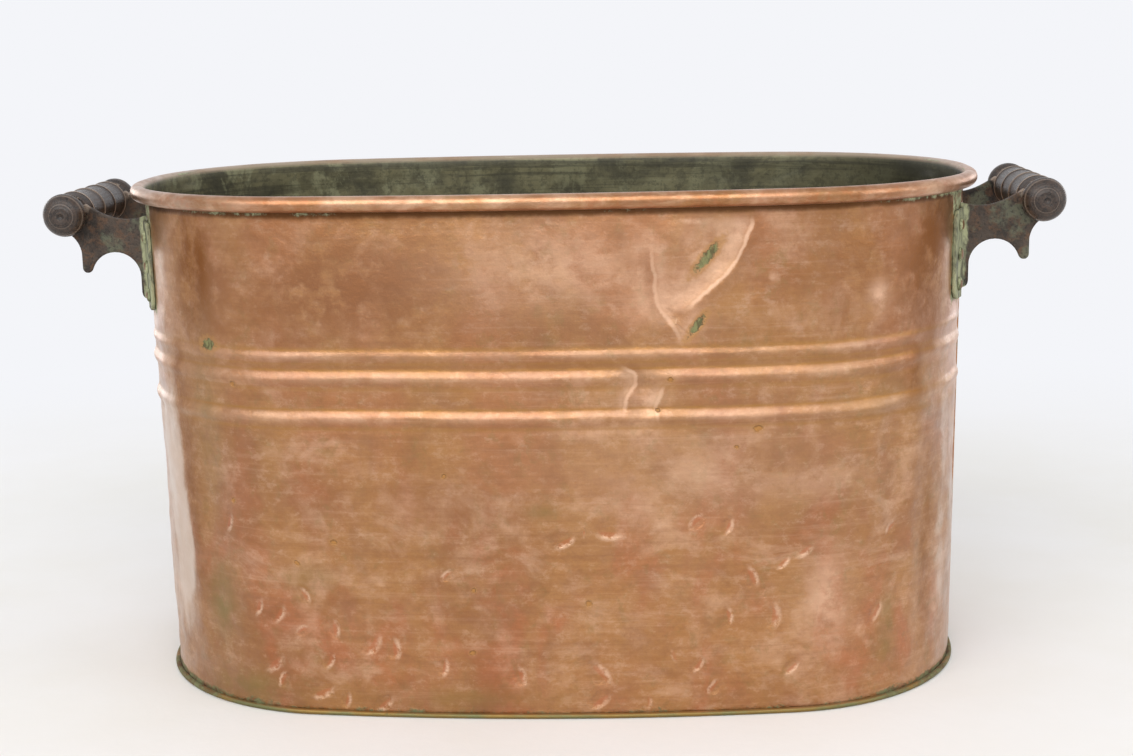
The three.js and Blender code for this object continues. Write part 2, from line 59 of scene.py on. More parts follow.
# Rim's outline, from the frame
front_low, front_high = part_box("front_shell")
HALF_LENGTH = round(front_high.x, 3)
HALF_WIDTH = round(-front_low.y, 3)
RIM_TOP = front_high.z
SIDE_RADIUS = 1.3
HALF_FLAT = 0.008

# Wall's sheet, its roll over the wire, and the heights between which it is dented and laid flat at the ears
SHEET = 0.0008
LAYER = 0.0011
ROLL_OUTER = 0.00495
ROLL_SLACK = 0.00004
ROLL_INSET = 0.0051
WALL_TOP_INSET = 0.0098
ROLL_HEIGHT = RIM_TOP - ROLL_OUTER - ROLL_SLACK
CURL_RADIUS = ROLL_OUTER - SHEET / 2
CURL_TAIL = -2.45
DRAFT = 0.010465
FOOT_HEIGHT = 0.0015
FOOT_FLANGE = 0.0014
CALM_FOOT = 0.004
CALM_TOP = ROLL_HEIGHT - 0.0051
FACET_TOP = ROLL_HEIGHT - 0.0045

# Beads, as middle height, width and how far they stand out
BEADS = (
    (0.2313, 0.009, 0.0011),
    (0.2173, 0.012, 0.0019),
    (0.1923, 0.012, 0.0019),
)
FAINT_LINE = (0.1815, 0.006, 0.0003)
BEAD_UNEVEN = 0.7

# Lock seams at the middle of each end
SEAM_FOOT = 0.006
SEAM_TOP = 0.3158
SEAM_REACH = 0.004
SEAM_HOOK = 0.003

# Gap between neighbouring pieces, and how near two points are one point or a point is on a line
CLEARANCE = 0.0003
MERGE = 0.00001
RING_SLACK = 0.0001

# Ears and their flanges
EAR_Y = 0.046
EAR_THICKNESS = 0.003
EAR_TOP = 0.3098
FLANGE_TOP = 0.3063
FLANGE_FOOT = 0.2483
FLANGE_WIDTH = 0.02
FLANGE_THICKNESS = 0.0025
FACET_MARGIN = 0.0015
GRIP_X = 0.3155
GRIP_Z = 0.3115
TIP_TOP = 0.284
TIP_X = 0.297
REAR_TIP_SCALE = 0.8

# The boiler's corners with their side and depth. The pieces of the first corner are made, then mirrored.
FIRST_CORNER = "right_front"
CORNERS = ((-1, 1, "left_front"), (1, -1, "right_rear"), (-1, -1, "left_rear"), (1, 1, FIRST_CORNER))

# Sizes that follow
side_centre = SIDE_RADIUS - HALF_WIDTH
flat_to_side = side_centre + HALF_FLAT
end_radius = (SIDE_RADIUS**2 - flat_to_side**2 - HALF_LENGTH**2) / (2 * (SIDE_RADIUS - HALF_LENGTH))
end_centre_x = HALF_LENGTH - end_radius
side_turn = math.atan2(end_centre_x, flat_to_side)
end_turn = math.pi / 2 - side_turn
side_run = SIDE_RADIUS * side_turn
end_run = end_radius * end_turn
half_run = side_run + end_run + HALF_FLAT


def wall_inset(height):
    """How far the middle of the wall's sheet lies in from the rim's outline"""
    return WALL_TOP_INSET + (ROLL_HEIGHT - height) * DRAFT


flange_middle = (FLANGE_TOP + FLANGE_FOOT) / 2
radius_at_ear = end_radius - wall_inset(flange_middle) + SHEET / 2
facet_start = math.asin((EAR_Y - EAR_THICKNESS / 2 - FACET_MARGIN - HALF_FLAT) / radius_at_ear)
facet_chord = EAR_THICKNESS + FLANGE_WIDTH + 2 * FACET_MARGIN
facet_turn = 2 * math.asin(facet_chord / (2 * radius_at_ear))
facet_middle = facet_start + facet_turn / 2
facet_outward = Vector((math.cos(facet_middle), -math.sin(facet_middle), 0))


def metres(rows, lengths=4):
    """A table's rows in millimetres as metres. Only the first lengths of each row are measures."""
    return [(*(value / 1000 for value in row[:lengths]), *row[lengths:]) for row in rows]


# Damage on the front, as places on the wall seen from the front: X and height, in millimetres
HAMMER_MARKS = metres((
    (-187, 69), (-173, 66), (-155, 78), (-157, 55), (-137, 57), (-113, 48), (-99, 45), (-178, 33),
    (-171, 21), (-141, 36), (-146, 16), (-131, 10), (-107, 9), (-63, 93), (-68, 33), (-20, 27), (10, 116),
    (38, 121), (92, 126), (110, 123), (124, 90), (110, 65), (138, 64), (78, 40), (91, 34), (30, 28),
    (30, 12), (60, 10), (102, 18), (150, 30), (157, 106), (144, 99), (-205, 122), (215, 112), (205, 60),
))
MARK_RADIUS = 0.0064
MARK_DEPTH = 0.0003

# The marks are stored in sets, in each of which two marks lie at least this far apart
MARK_SETS = 4
MARK_SPACING = 0.026

# How far from its middle a mark is felt, in units of its size
MARK_LIMIT = 1.6
GREEN_LIMIT = 2.5
FAR = 1000

# Share of the painted end reflection that the back has, and of the beads' crests, partly worn and partly a
# painted highlight, in what is pale
BACK_END_REFLECTION = 0.62
CREST_SHARE = 0.42

# Larger dents, in millimetres: X, height, half length, half height and depth
DENTS = metres((
    (58, 212, 10, 9, 2.6), (60, 196, 8, 7, 2), (40, 208, 8, 6, -0.8), (168, 72, 24, 22, 1.1),
    (-30, 118, 30, 16, 0.7), (-165, 60, 24, 20, 0.8), (205, 215, 10, 12, 1), (226, 160, 12, 50, 1.4),
    (246, 120, 10, 60, -1.2), (-232, 110, 14, 70, 1.6), (-252, 80, 10, 60, -1), (90, 20, 30, 10, 0.7),
), 5)

# Creases on the crumpled panel and at the beads: strength, how far each is felt in metres, and places along
# it in millimetres. Seen from the start of a crease to its end, its raised side, painted lighter as lit, is
# on the right.
CREASES = (
    (0.9, 0.016, metres((
        (125.8, 315), (125, 308), (121.1, 299), (116.3, 287), (106.2, 275.6), (91.2, 263.4), (84, 256),
    ))),
    (0.6, 0.009, metres(((85, 234), (78.5, 248), (70, 259), (67.5, 270), (66, 285), (65.9, 302)))),
    (0.8, 0.007, metres(((44.5, 225), (54.7, 219.5), (55, 212.9), (50, 205), (47.2, 192)))),
    (0.6, 0.007, metres(((73, 213), (69, 205.1), (66.5, 199), (69, 188)))),
)
CREASE_UNIT = 0.006

# Green gouges and smaller brown spots, in millimetres: X, height, half length, half width, and their turn
# in degrees
SPOT_SIZE = 0.0032
GREEN_MARKS = metres((
    (98.5, 289.5, 12.5, 3.3, 49), (92, 248.5, 9.5, 2.8, 53), (-210, 236, 7.5, 4.5, 0),
    (-194, 213, 2.2, 1.8, 0), (-199, 137, 2, 1.8, 0), (-134, 114, 2.2, 2, 0), (-158, 100, 2.6, 1.8, -35),
    (-63, 157, 1.6, 1.6, 0), (-47, 84, 1.8, 1.6, 0), (-49, 43, 2.2, 1.4, 10), (24.5, 75, 2.2, 2.8, 0),
    (68, 197, 2, 1.4, 0), (76, 216, 2, 1.6, 0), (129, 184, 3, 2.4, 0), (116, 173, 1.8, 1.4, 0),
))

# Soft stains by kind, some of them painted light and shade, in millimetres: X, height, half length, half
# height, and their strength
STAINS = {
    "heat": metres((
        (-170, 311.2, 50, 3.4, 1.6), (190, 310, 60, 7, 1.3), (165, 226.8, 75, 3, 1),
        (232, 200, 16, 30, 0.7), (240, 300, 14, 20, 0.9), (-219, 285, 6, 45, 0.9), (243, 282, 6, 35, 0.9),
        (-18, 116, 40, 16, 0.8), (-66, 30, 22, 8, 1), (212, 110, 22, 30, 0.9), (98, 298, 14, 16, 0.9),
        (85, 100, 22, 12, 0.5), (-85, 90, 20, 14, 0.45), (140, 78, 12, 24, 0.45), (22, 78, 18, 12, 1),
        (246, 165, 10, 60, 0.8), (228, 60, 16, 26, 0.7), (70, 105, 20, 10, 0.4), (-235, 225, 8, 20, 0.8),
        (0, 30, 60, 14, 0.6), (120, 30, 60, 14, 0.4), (-215, 10, 20, 8, 0.7), (-120, 205, 100, 3, 0.5),
        (150, 205, 120, 3, 0.5),
    )),
    # Some pale stains are painted highlights that the dents catch: those on and beside the crumpled panel,
    # at the kinked beads, and the small bright spots; the others are scoured copper
    "pale": metres((
        (96, 292, 20, 20, 0.6), (89.7, 311.4, 6, 2, 1), (60, 203, 10, 6, 1), (88, 255, 14, 16, 0.4),
        (203.5, 261, 7.5, 9.5, 1), (172, 72, 18, 30, 0.75), (158, 150, 50, 14, 0.4),
        (30, 185, 30, 8, 0.5), (58, 208, 18, 14, 0.6), (138.5, 276.5, 2.2, 2.6, 1),
        (10, 285, 70, 26, 0.5), (90, 160, 90, 30, 0.3), (-100, 218, 110, 4, 0.35),
    )),
    # The brown stains high beside both ears also paint the darker reflection there as shade; the others are
    # tarnish
    "brown": metres((
        (-205, 275, 30, 45, 0.9), (225, 270, 30, 50, 1), (-120, 273, 95, 42, 1.25),
        (0, 225, 500, 2.6, 0.8), (190, 275, 36, 36, 0.7), (50, 150, 50, 12, 0.35),
        (-70, 140, 60, 20, 0.45), (120, 245, 60, 12, 0.35), (-130, 70, 70, 20, 0.25),
    )),
    # The "dark" kind is painted shade: the darker reflection beside the ears and down the round ends, and
    # the shadow under the roll at the left
    "dark": metres((
        (-222.5, 285, 20, 60, 0.95), (-213, 288, 11, 40, 1), (238, 285, 28, 60, 1),
        (-232, 140, 12, 100, 0.7), (-236, 205, 12, 40, 0.8), (205, 290, 36, 22, 0.3),
        (-120, 317.5, 120, 4, 0.6), (228, 212, 12, 26, 0.7), (240, 90, 10, 60, 0.6),
    )),
    "grime": metres((
        (-213, 66, 14, 24, 1.1), (213, 46, 7, 28, 0.8), (-195, 14, 40, 12, 0.9), (-50, 12, 80, 8, 0.5),
        (212, 200, 30, 18, 0.35), (-215, 200, 14, 70, 0.5), (-3, 134, 10, 5, 0.6),
        (-150, 90, 20, 10, 0.5),
    )),
}

# The photograph's viewpoint
CAMERA_PLACE = Vector((0.06103, -1.2, 0.429))
CAMERA_YAW = -0.04517
CAMERA_PITCH = 0.19801
CAMERA_ROLL = -0.02105
FOCAL_PIXELS = 1780.3
FRAME_WIDTH = 1133
SENSOR_WIDTH = 36


def linear(red, green, blue):
    """A screen colour from 0 to 255 as the linear colour that shaders take"""
    shares = (channel / 255 for channel in (red, green, blue))
    return tuple(s / 12.92 if s <= 0.04045 else ((s + 0.055) / 1.055) ** 2.4 for s in shares)


def colour_property(description, *shades):
    """A colour setting that starts at a screen colour"""
    return bpy.props.FloatVectorProperty(
        name=description, description=description, subtype="COLOR", size=3, min=0, max=1,
        default=linear(*shades),
    )


def number_property(description, default, unit="NONE"):
    return bpy.props.FloatProperty(
        name=description, description=description, unit=unit, min=0, default=default, precision=5,
    )


class BoilerSizes(bpy.types.PropertyGroup):
    """Sizes of the boiler's wear and of its fine parts"""
    column_width: number_property("Width of the walls' faces", 0.0028, "LENGTH")
    row_height: number_property("Height of the walls' faces", 0.0024, "LENGTH")
    bead_row: number_property("Height of the walls' faces across a bead", 0.0014, "LENGTH")
    buckle: number_property("How far the walls' long waves go in and out", 0.0008, "LENGTH")
    ripple: number_property("How far the walls' short waves go in and out", 0.0004, "LENGTH")
    lip_wave: number_property("How far the bottom's folded lip wanders", 0.00035, "LENGTH")
    ear_grain: number_property("Size of the faces that an ear is rounded with", 0.0006, "LENGTH")


class BoilerColours(bpy.types.PropertyGroup):
    """Colours of the boiler's finishes"""
    copper: colour_property("Worn copper", 174, 119, 72)
    # Also the painted shade high beside the ears and on the creases' low sides
    brown: colour_property("Brown tarnish", 142, 91, 51)
    # Also the colour of the painted highlights on the dents, creases, hammer marks and beads
    pink: colour_property("Scoured, pinkish copper", 222, 181, 150)
    ochre: colour_property("Yellow tarnish", 178, 129, 70)
    # Also the painted shade in the hammer marks' dishes
    heat: colour_property("Orange-red tint", 186, 103, 62)
    groove: colour_property("Ochre tarnish along the beads", 164, 114, 52)
    # Painted shade: the darker reflection beside the ears and down the ends, and the shadow under the roll
    painted_shade: colour_property("Dark orange-brown beside the ears", 128, 76, 28)
    rim_grey: colour_property("Greyed copper at the back of the rim", 168, 152, 130)
    # Painted reflection: the whitish strips low on the round ends
    end_reflection: colour_property("Whitish film on the round ends", 214, 192, 174)
    lip_green: colour_property("Dark green of the bottom's fold", 112, 112, 74)
    # Painted shadow under the roll and in the crease above the bottom's lip; it also darkens the crust at
    # the foot
    shadow: colour_property("Dark tarnish in folds", 86, 52, 24)
    olive: colour_property("Olive tarnish", 136, 110, 58)
    verdigris: colour_property("Pale green crust", 162, 164, 128)
    dark_green: colour_property("Damp green crust", 68, 72, 42)
    gouge_green: colour_property("Green in the deep gouges", 112, 118, 76)
    lining: colour_property("Tarnished inside", 102, 97, 68)
    # Also the painted shade towards the inside's right-hand end
    lining_dark: colour_property("Darkest tarnish inside", 44, 42, 28)
    # Stronger towards the inside's left-hand end, partly as painted light
    lining_green: colour_property("Green bloom inside", 122, 120, 90)
    iron: colour_property("Old iron", 78, 67, 58)
    iron_dark: colour_property("Iron in the hollows", 40, 35, 31)
    rust: colour_property("Brown rust on the iron", 104, 74, 52)
    iron_bloom: colour_property("Grey-green film on the iron", 96, 98, 80)
    wood: colour_property("Dark, greasy wood", 60, 46, 36)
    wood_dark: colour_property("Wood in the lathe lines", 32, 24, 19)
    # Also, in part, a painted highlight on the grips' crests and a painted reflection on the roll's left end
    worn_wood: colour_property("Wood worn bare", 168, 150, 134)
    wire: colour_property("Drawn wire", 120, 118, 112)


class BoilerStage(bpy.types.PropertyGroup):
    """The plain studio"""
    floor: colour_property("Colour of the floor", 231, 229, 223)
    backdrop: colour_property("Colour behind the floor", 244, 245, 249)
    daylight: number_property("Strength of the light from all round", 0.85)
    key: number_property("Power of the large lamp above the front", 56, "POWER")
    fill: number_property("Power of the lamp at the side", 7, "POWER")
    edge: number_property("Power of each lamp behind the ends", 3.5, "POWER")


def sizes():
    return bpy.context.scene.boiler_sizes


def colours():
    return bpy.context.scene.boiler_colours


def stage_settings():
    return bpy.context.scene.boiler_stage


def fade(low, high, value):
    """Smooth rise from 0 at low to 1 at high"""
    share = min(max((value - low) / (high - low), 0), 1)
    return share * share * (3 - 2 * share)


def swell(offset, width):
    """1 where there is no offset, falling off softly over a width to both sides"""
    return math.exp(-((offset / width) ** 2))


def ellipse_reach(x, y, half_length, half_height):
    """Square of an offset, measured in an ellipse's half length and half height"""
    return (x / half_length) ** 2 + (y / half_height) ** 2


def chance(x, y, z):
    """A value that wanders smoothly round 0 from place to place"""
    return noise.noise(Vector((x, y, z)))


def arc(centre_x, centre_y, radius, start, end, steps):
    """Points of an arc, both ends included"""
    turns = (start + (end - start) * i / steps for i in range(steps + 1))
    return [(centre_x + radius * math.cos(turn), centre_y + radius * math.sin(turn)) for turn in turns]


# Plan of the rim. A run is measured along its outline from the middle of the front to the right.
def rim_station(run):
    """Point and outward normal on the rim's outline"""
    side = math.copysign(1, run)
    length = abs(run)
    if length <= side_run:
        turn = length / SIDE_RADIUS
        normal = Vector((math.sin(turn), -math.cos(turn)))
        point = Vector((0, side_centre)) + normal * SIDE_RADIUS
    elif length <= side_run + end_run:
        turn = end_turn - (length - side_run) / end_radius
        normal = Vector((math.cos(turn), -math.sin(turn)))
        point = Vector((end_centre_x, -HALF_FLAT)) + normal * end_radius
    else:
        normal = Vector((1, 0))
        point = Vector((HALF_LENGTH, length - half_run))
    return Vector((point.x * side, point.y)), Vector((normal.x * side, normal.y))


def run_at(x):
    """Run of the place on the front wall that has this X"""
    inset = wall_inset(ROLL_HEIGHT / 2)
    side_end = (SIDE_RADIUS - inset) * math.sin(side_turn)
    if abs(x) <= side_end:
        return SIDE_RADIUS * math.asin(x / (SIDE_RADIUS - inset))
    share = min((abs(x) - end_centre_x) / (end_radius - inset), 1)
    return math.copysign(side_run + (end_turn - math.acos(share)) * end_radius, x)


# Objects and edit mode
def deselect_all():
    if bpy.context.object and bpy.context.object.mode != "OBJECT":
        bpy.ops.object.mode_set(mode="OBJECT")
    bpy.ops.object.select_all(action="DESELECT")


def take(name):
    """Names the primitive that was just added and returns it"""
    piece = bpy.context.object
    piece.name = name
    piece.data.name = name
    return piece


def focus(piece):
    deselect_all()
    piece.select_set(True)
    bpy.context.view_layer.objects.active = piece


def edit(piece, select="SELECT"):
    focus(piece)
    bpy.ops.object.mode_set(mode="EDIT")
    bpy.ops.mesh.select_all(action=select)


def leave_edit():
    bpy.ops.object.mode_set(mode="OBJECT")


def select_vertices(piece, chosen):
    """Selects vertices by a test of their place, from object mode, and goes to edit mode"""
    edit(piece, "DESELECT")
    bpy.ops.mesh.select_mode(type="VERT")
    leave_edit()
    for vertex in piece.data.vertices:
        vertex.select = chosen(vertex.co)
    bpy.ops.object.mode_set(mode="EDIT")


def apply_modifier(piece, kind, **settings):
    focus(piece)
    modifier = piece.modifiers.new(kind.title(), kind)
    for key, value in settings.items():
        setattr(modifier, key, value)
    bpy.ops.object.modifier_apply(modifier=modifier.name)


def place(piece, matrix):
    """Moves a piece's shape and leaves its object at the origin"""
    focus(piece)
    piece.matrix_world = matrix
    bpy.ops.object.transform_apply(location=True, rotation=True, scale=True)


def smooth(piece, degrees):
    focus(piece)
    bpy.ops.object.shade_smooth_by_angle(angle=math.radians(degrees))


def join(pieces, name):
    deselect_all()
    for piece in pieces:
        piece.select_set(True)
    bpy.context.view_layer.objects.active = pieces[0]
    bpy.ops.object.join()
    return take(name)


def copy_piece(piece, name):
    focus(piece)
    bpy.ops.object.duplicate(linked=False)
    return take(name)


def face_outwards(piece):
    edit(piece)
    bpy.ops.mesh.normals_make_consistent(inside=False)
    leave_edit()


def flip(piece):
    edit(piece)
    bpy.ops.mesh.flip_normals()
    leave_edit()


def mirrored_copy(piece, name, side, depth):
    """A copy for another corner of the boiler. side and depth are 1, or -1 to mirror X or Y."""
    copy = copy_piece(piece, name)
    place(copy, Matrix.Diagonal((side, depth, 1, 1)))
    face_outwards(copy)
    return copy


def formed_grid(name, columns, rows, point_at):
    """A flat grid bent to shape: point_at gives the place of each column and row"""
    deselect_all()
    bpy.ops.mesh.primitive_grid_add(x_subdivisions=columns - 1, y_subdivisions=rows - 1, size=1)
    piece = take(name)
    order = []
    for vertex in piece.data.vertices:
        column = round((vertex.co.x + 0.5) * (columns - 1))
        row = round((vertex.co.y + 0.5) * (rows - 1))
        vertex.co = point_at(column, row)
        order.append((column, row))
    return piece, order


def outline_plate(name, outline, thickness):
    """A plate from its outline in the XY plane, as thick upwards as it is told"""
    deselect_all()
    bpy.ops.mesh.primitive_circle_add(vertices=len(outline), fill_type="NOTHING")
    piece = take(name)
    for vertex, (x, y) in zip(piece.data.vertices, outline):
        vertex.co = (x, y, 0)
    edit(piece)
    bpy.ops.mesh.edge_face_add()
    bpy.ops.mesh.extrude_region_move(TRANSFORM_OT_translate={"value": (0, 0, thickness)})
    face_outwards(piece)
    return piece


def turned(name, profile, steps):
    """A shape turned about Z from a profile of radius and height that starts and ends on the axis"""
    deselect_all()
    bpy.ops.mesh.primitive_plane_add(size=profile[1][0])
    piece = take(name)
    edit(piece)
    bpy.ops.mesh.merge(type="CENTER")
    leave_edit()
    piece.data.vertices[0].co = (profile[0][0], 0, profile[0][1])
    edit(piece)
    for (radius, height), (next_radius, next_height) in zip(profile, profile[1:]):
        step = (next_radius - radius, 0, next_height - height)
        bpy.ops.mesh.extrude_vertices_move(TRANSFORM_OT_translate={"value": step})
    bpy.ops.mesh.select_all(action="SELECT")
    bpy.ops.mesh.spin(steps=steps, angle=2 * math.pi, center=(0, 0, 0), axis=(0, 0, 1))
    bpy.ops.mesh.select_all(action="SELECT")
    bpy.ops.mesh.remove_doubles(threshold=MERGE)
    face_outwards(piece)
    return piece


def on_facet():
    """Places a shape made on the wall at the right front ear: X towards the grip's middle, Z outwards"""
    lean = DRAFT * math.cos(facet_turn / 2)
    across = Vector((-facet_outward.y, facet_outward.x, 0))
    up = (Vector((0, 0, 1)) + facet_outward * lean).normalized()
    normal = across.cross(up)
    distance = radius_at_ear * math.cos(facet_turn / 2)
    origin = Vector((end_centre_x, -HALF_FLAT, flange_middle)) + facet_outward * distance
    matrix = Matrix((across, up, normal)).transposed().to_4x4()
    matrix.translation = origin
    return matrix


# Node trees
class Net:
    """A node tree that is wired as it is written. Its patterns lie on its vector."""

    def __init__(self, tree, vector=None):
        self.tree = tree
        self.vector = vector

    def feed(self, socket, value):
        if isinstance(value, bpy.types.NodeSocket):
            self.tree.links.new(value, socket)
        elif value is not None:
            if getattr(socket, "type", "") == "RGBA" and len(value) == 3:
                value = (*value, 1)
            socket.default_value = value

    def add(self, kind, inputs=None, **settings):
        node = self.tree.nodes.new("ShaderNode" + kind)
        for key, value in settings.items():
            setattr(node, key, value)
        for key, value in (inputs or {}).items():
            self.feed(node.inputs[key], value)
        return node

    def math(self, operation, *values):
        return self.add("Math", dict(enumerate(values)), operation=operation).outputs[0]

    def plus(self, first, second):
        return self.math("ADD", first, second)

    def product(self, *values):
        total = values[0]
        for value in values[1:]:
            total = self.math("MULTIPLY", total, value)
        return total

    def highest(self, first, second):
        return self.math("MAXIMUM", first, second)

    def without(self, mask, share=1.0):
        """What a mask leaves free"""
        return self.math("SUBTRACT", 1.0, self.product(mask, share) if share != 1 else mask)

    def swing(self, pattern, amount):
        """A pattern round 0.5 as a swing to both sides of 0"""
        return self.product(self.math("SUBTRACT", pattern, 0.5), amount)

    def reach(self, x, y):
        """Length of an offset"""
        return self.math("SQRT", self.plus(self.product(x, x), self.product(y, y)))

    def mix(self, factor, first, second):
        return self.add("Mix", {"Factor": factor, 6: first, 7: second}, data_type="RGBA").outputs[2]

    def blend(self, factor, first, second):
        return self.add("Mix", {"Factor": factor, 2: first, 3: second}, data_type="FLOAT").outputs[0]

    def layered(self, colour, *layers):
        """A colour under layers, each of them a tone and the masks that it shows through"""
        for tone, *masks in layers:
            colour = self.mix(self.product(*masks), colour, tone)
        return colour

    def rise(self, value, low, high, start=0.0, end=1.0):
        node = self.add("MapRange", {
            "Value": value, "From Min": low, "From Max": high, "To Min": start, "To Max": end,
        }, interpolation_type="SMOOTHSTEP")
        return node.outputs["Result"]

    def stretched(self, scale, turn=(0, 0, 0)):
        node = self.add("Mapping", {"Vector": self.vector, "Scale": scale, "Rotation": turn})
        return node.outputs["Vector"]

    def noise(self, scale, detail=4.0, roughness=0.55, distortion=0.0, stretch=None, turn=(0, 0, 0)):
        """A cloudy pattern, as fine as its scale says or as it is stretched"""
        vector = self.stretched(stretch, turn) if stretch else self.vector
        return self.add("TexNoise", {
            "Vector": vector, "Scale": scale, "Detail": detail, "Roughness": roughness,
            "Distortion": distortion,
        }).outputs[0]

    def attribute(self, name, output="Fac"):
        return self.add("Attribute", attribute_name=name).outputs[output]

    def split(self, vector):
        return self.add("SeparateXYZ", {"Vector": vector}).outputs

    def relief(self, *heights):
        """The normal under heights laid over one another, each with its depth"""
        normal = None
        for height, depth in heights:
            node = self.add("Bump", {"Height": height, "Distance": depth, "Normal": normal})
            normal = node.outputs["Normal"]
        return normal

    def effect(self, name, **inputs):
        """Places a shared effect and returns its outputs"""
        node = self.add("Group", node_tree=bpy.data.node_groups.get(name) or GROUP_MAKERS[name]())
        for key, value in inputs.items():
            self.feed(node.inputs[key], value)
        return node.outputs

    def patches(self, scale, stretch=None):
        vector = self.stretched(stretch) if stretch else self.vector
        return self.effect("Cloudy patches", Vector=vector, Scale=scale)

    def rubbed(self):
        return self.effect("Rubbed edges", Vector=self.vector, Exposure=self.attribute("exposure"))["Mask"]


class Finish(Net):
    """The net of a new material, with its shader and the boiler's colours"""

    def __init__(self, name):
        self.material = bpy.data.materials.new(name)
        self.material.use_nodes = True
        super().__init__(self.material.node_tree)
        self.vector = self.add("TexCoord").outputs["Object"]
        self.shader = self.tree.nodes["Principled BSDF"]
        self.palette = colours()

    def surface(self, colour, roughness, normal, metallic=None, coat=None, coat_roughness=None):
        for name, value in (
            ("Base Color", colour), ("Roughness", roughness), ("Normal", normal), ("Metallic", metallic),
            ("Coat Weight", coat), ("Coat Roughness", coat_roughness),
        ):
            self.feed(self.shader.inputs[name], value)

    def crust(self, coverage, green=None, dark=None, stretch=None):
        """Verdigris in this boiler's own greens"""
        return self.effect(
            "Verdigris crust", Vector=self.stretched(stretch) if stretch else self.vector,
            Coverage=coverage, Green=green or self.palette.verdigris, Dark=dark or self.palette.dark_green,
        )


SOCKET_KINDS = {
    "Vector": "NodeSocketVector", "Color": "NodeSocketColor", "Green": "NodeSocketColor",
    "Dark": "NodeSocketColor",
}


def new_group(name, inputs, outputs):
    """An empty node group with its sockets, as a net and the group's input and output sockets"""
    tree = bpy.data.node_groups.new(name, "ShaderNodeTree")
    for in_out, socket_names in (("INPUT", inputs), ("OUTPUT", outputs)):
        for socket in socket_names:
            kind = SOCKET_KINDS.get(socket, "NodeSocketFloat")
            tree.interface.new_socket(name=socket, in_out=in_out, socket_type=kind)
    given = tree.nodes.new("NodeGroupInput").outputs
    return Net(tree, given["Vector"]), given, tree.nodes.new("NodeGroupOutput").inputs


def streaks_group():
    """Fine lines that run along the sheet, from scouring"""
    net, given, result = new_group("Scoured streaks", ("Vector", "Fineness"), ("Value",))
    wide = net.noise(given["Fineness"], 5, 0.65, stretch=(9, 9, 260))
    narrow = net.noise(given["Fineness"], 4, 0.6, stretch=(26, 26, 900))
    net.feed(result["Value"], net.blend(0.3, wide, narrow))
    return net.tree


def mottle_group():
    """Cloudy patches: a soft value and a sharper, patchy one"""
    net, given, result = new_group("Cloudy patches", ("Vector", "Scale"), ("Soft", "Patchy"))
    fine = net.noise(net.product(given["Scale"], 3.7), 6, 0.68, 0.8)
    net.feed(result["Soft"], net.noise(given["Scale"], 5, 0.6, 0.4))
    net.feed(result["Patchy"], net.rise(fine, 0.46, 0.62))
    return net.tree


def crust_group():
    """Verdigris: where it lies, its colour and how high it stands"""
    net, given, result = new_group(
        "Verdigris crust", ("Vector", "Coverage", "Green", "Dark"), ("Color", "Mask", "Height"),
    )
    broken = net.noise(170, 6, 0.7, 0.5)
    level = net.plus(given["Coverage"], net.swing(broken, 0.9))
    level = net.plus(level, net.swing(net.noise(45, 4, 0.6), 0.7))
    mask = net.product(net.rise(level, 0.38, 0.62), net.rise(given["Coverage"], 0.02, 0.12))
    net.feed(result["Mask"], mask)
    net.feed(result["Color"], net.mix(net.rise(broken, 0.36, 0.6), given["Dark"], given["Green"]))
    net.feed(result["Height"], net.product(mask, broken))
    return net.tree


def wear_group():
    """Rubbed places: a mask from how exposed the surface is"""
    net, given, result = new_group("Rubbed edges", ("Vector", "Exposure"), ("Mask",))
    level = net.plus(given["Exposure"], net.swing(net.noise(240, 4, 0.6), 0.8))
    net.feed(result["Mask"], net.rise(level, 0.35, 0.75))
    return net.tree


GROUP_MAKERS = {
    "Scoured streaks": streaks_group,
    "Cloudy patches": mottle_group,
    "Verdigris crust": crust_group,
    "Rubbed edges": wear_group,
}


def copper_look(net):
    """Tarnished copper: colour, roughness and height"""
    palette = net.palette
    streaks = net.effect("Scoured streaks", Vector=net.vector, Fineness=1.0)["Value"]
    clouds = net.patches(7.0, (1, 1, 1.4))
    tints = net.patches(15.0, (1.3, 1, 0.8))
    blots = net.patches(30.0)
    flecks = net.noise(100, 7, 0.74, stretch=(1, 1, 1.4))
    smears = net.noise(1.0, 7, 0.72, 0.5, stretch=(16, 16, 30), turn=(0, 0.12, 0))
    height = net.split(net.vector)[2]
    lower = net.rise(height, 0.24, 0.1, 0.18, 0.34)
    colour = net.layered(
        net.mix(net.rise(clouds["Soft"], 0.34, 0.62, 0.3, 0.9), palette.brown, palette.copper),
        (palette.ochre, net.rise(tints["Soft"], 0.42, 0.62, 0.0, 0.5)),
        (palette.heat, net.rise(tints["Soft"], 0.5, 0.36), net.rise(height, 0.2, 0.06, 0.14, 0.42)),
        (palette.pink, net.rise(blots["Soft"], 0.5, 0.7), 0.35),
        (palette.brown, net.rise(blots["Soft"], 0.48, 0.32), 0.35),
        (palette.olive, blots["Patchy"], tints["Patchy"], 0.4),
        (palette.brown, net.rise(flecks, 0.5, 0.64), 0.3),
        (palette.pink, net.rise(flecks, 0.49, 0.34), 0.24),
        (palette.brown, net.rise(streaks, 0.5, 0.64), 0.26),
        (palette.pink, net.rise(streaks, 0.48, 0.34), 0.14),
        (palette.pink, net.rise(smears, 0.5, 0.7), lower),
        (palette.brown, net.rise(smears, 0.5, 0.3), lower, 1.5),
    )
    patchy = net.plus(net.product(blots["Soft"], 0.6), net.product(flecks, 0.4))
    relief = net.plus(net.product(streaks, 0.2), net.product(flecks, 0.8))
    return colour, net.rise(patchy, 0.35, 0.65, 0.34, 0.5), relief


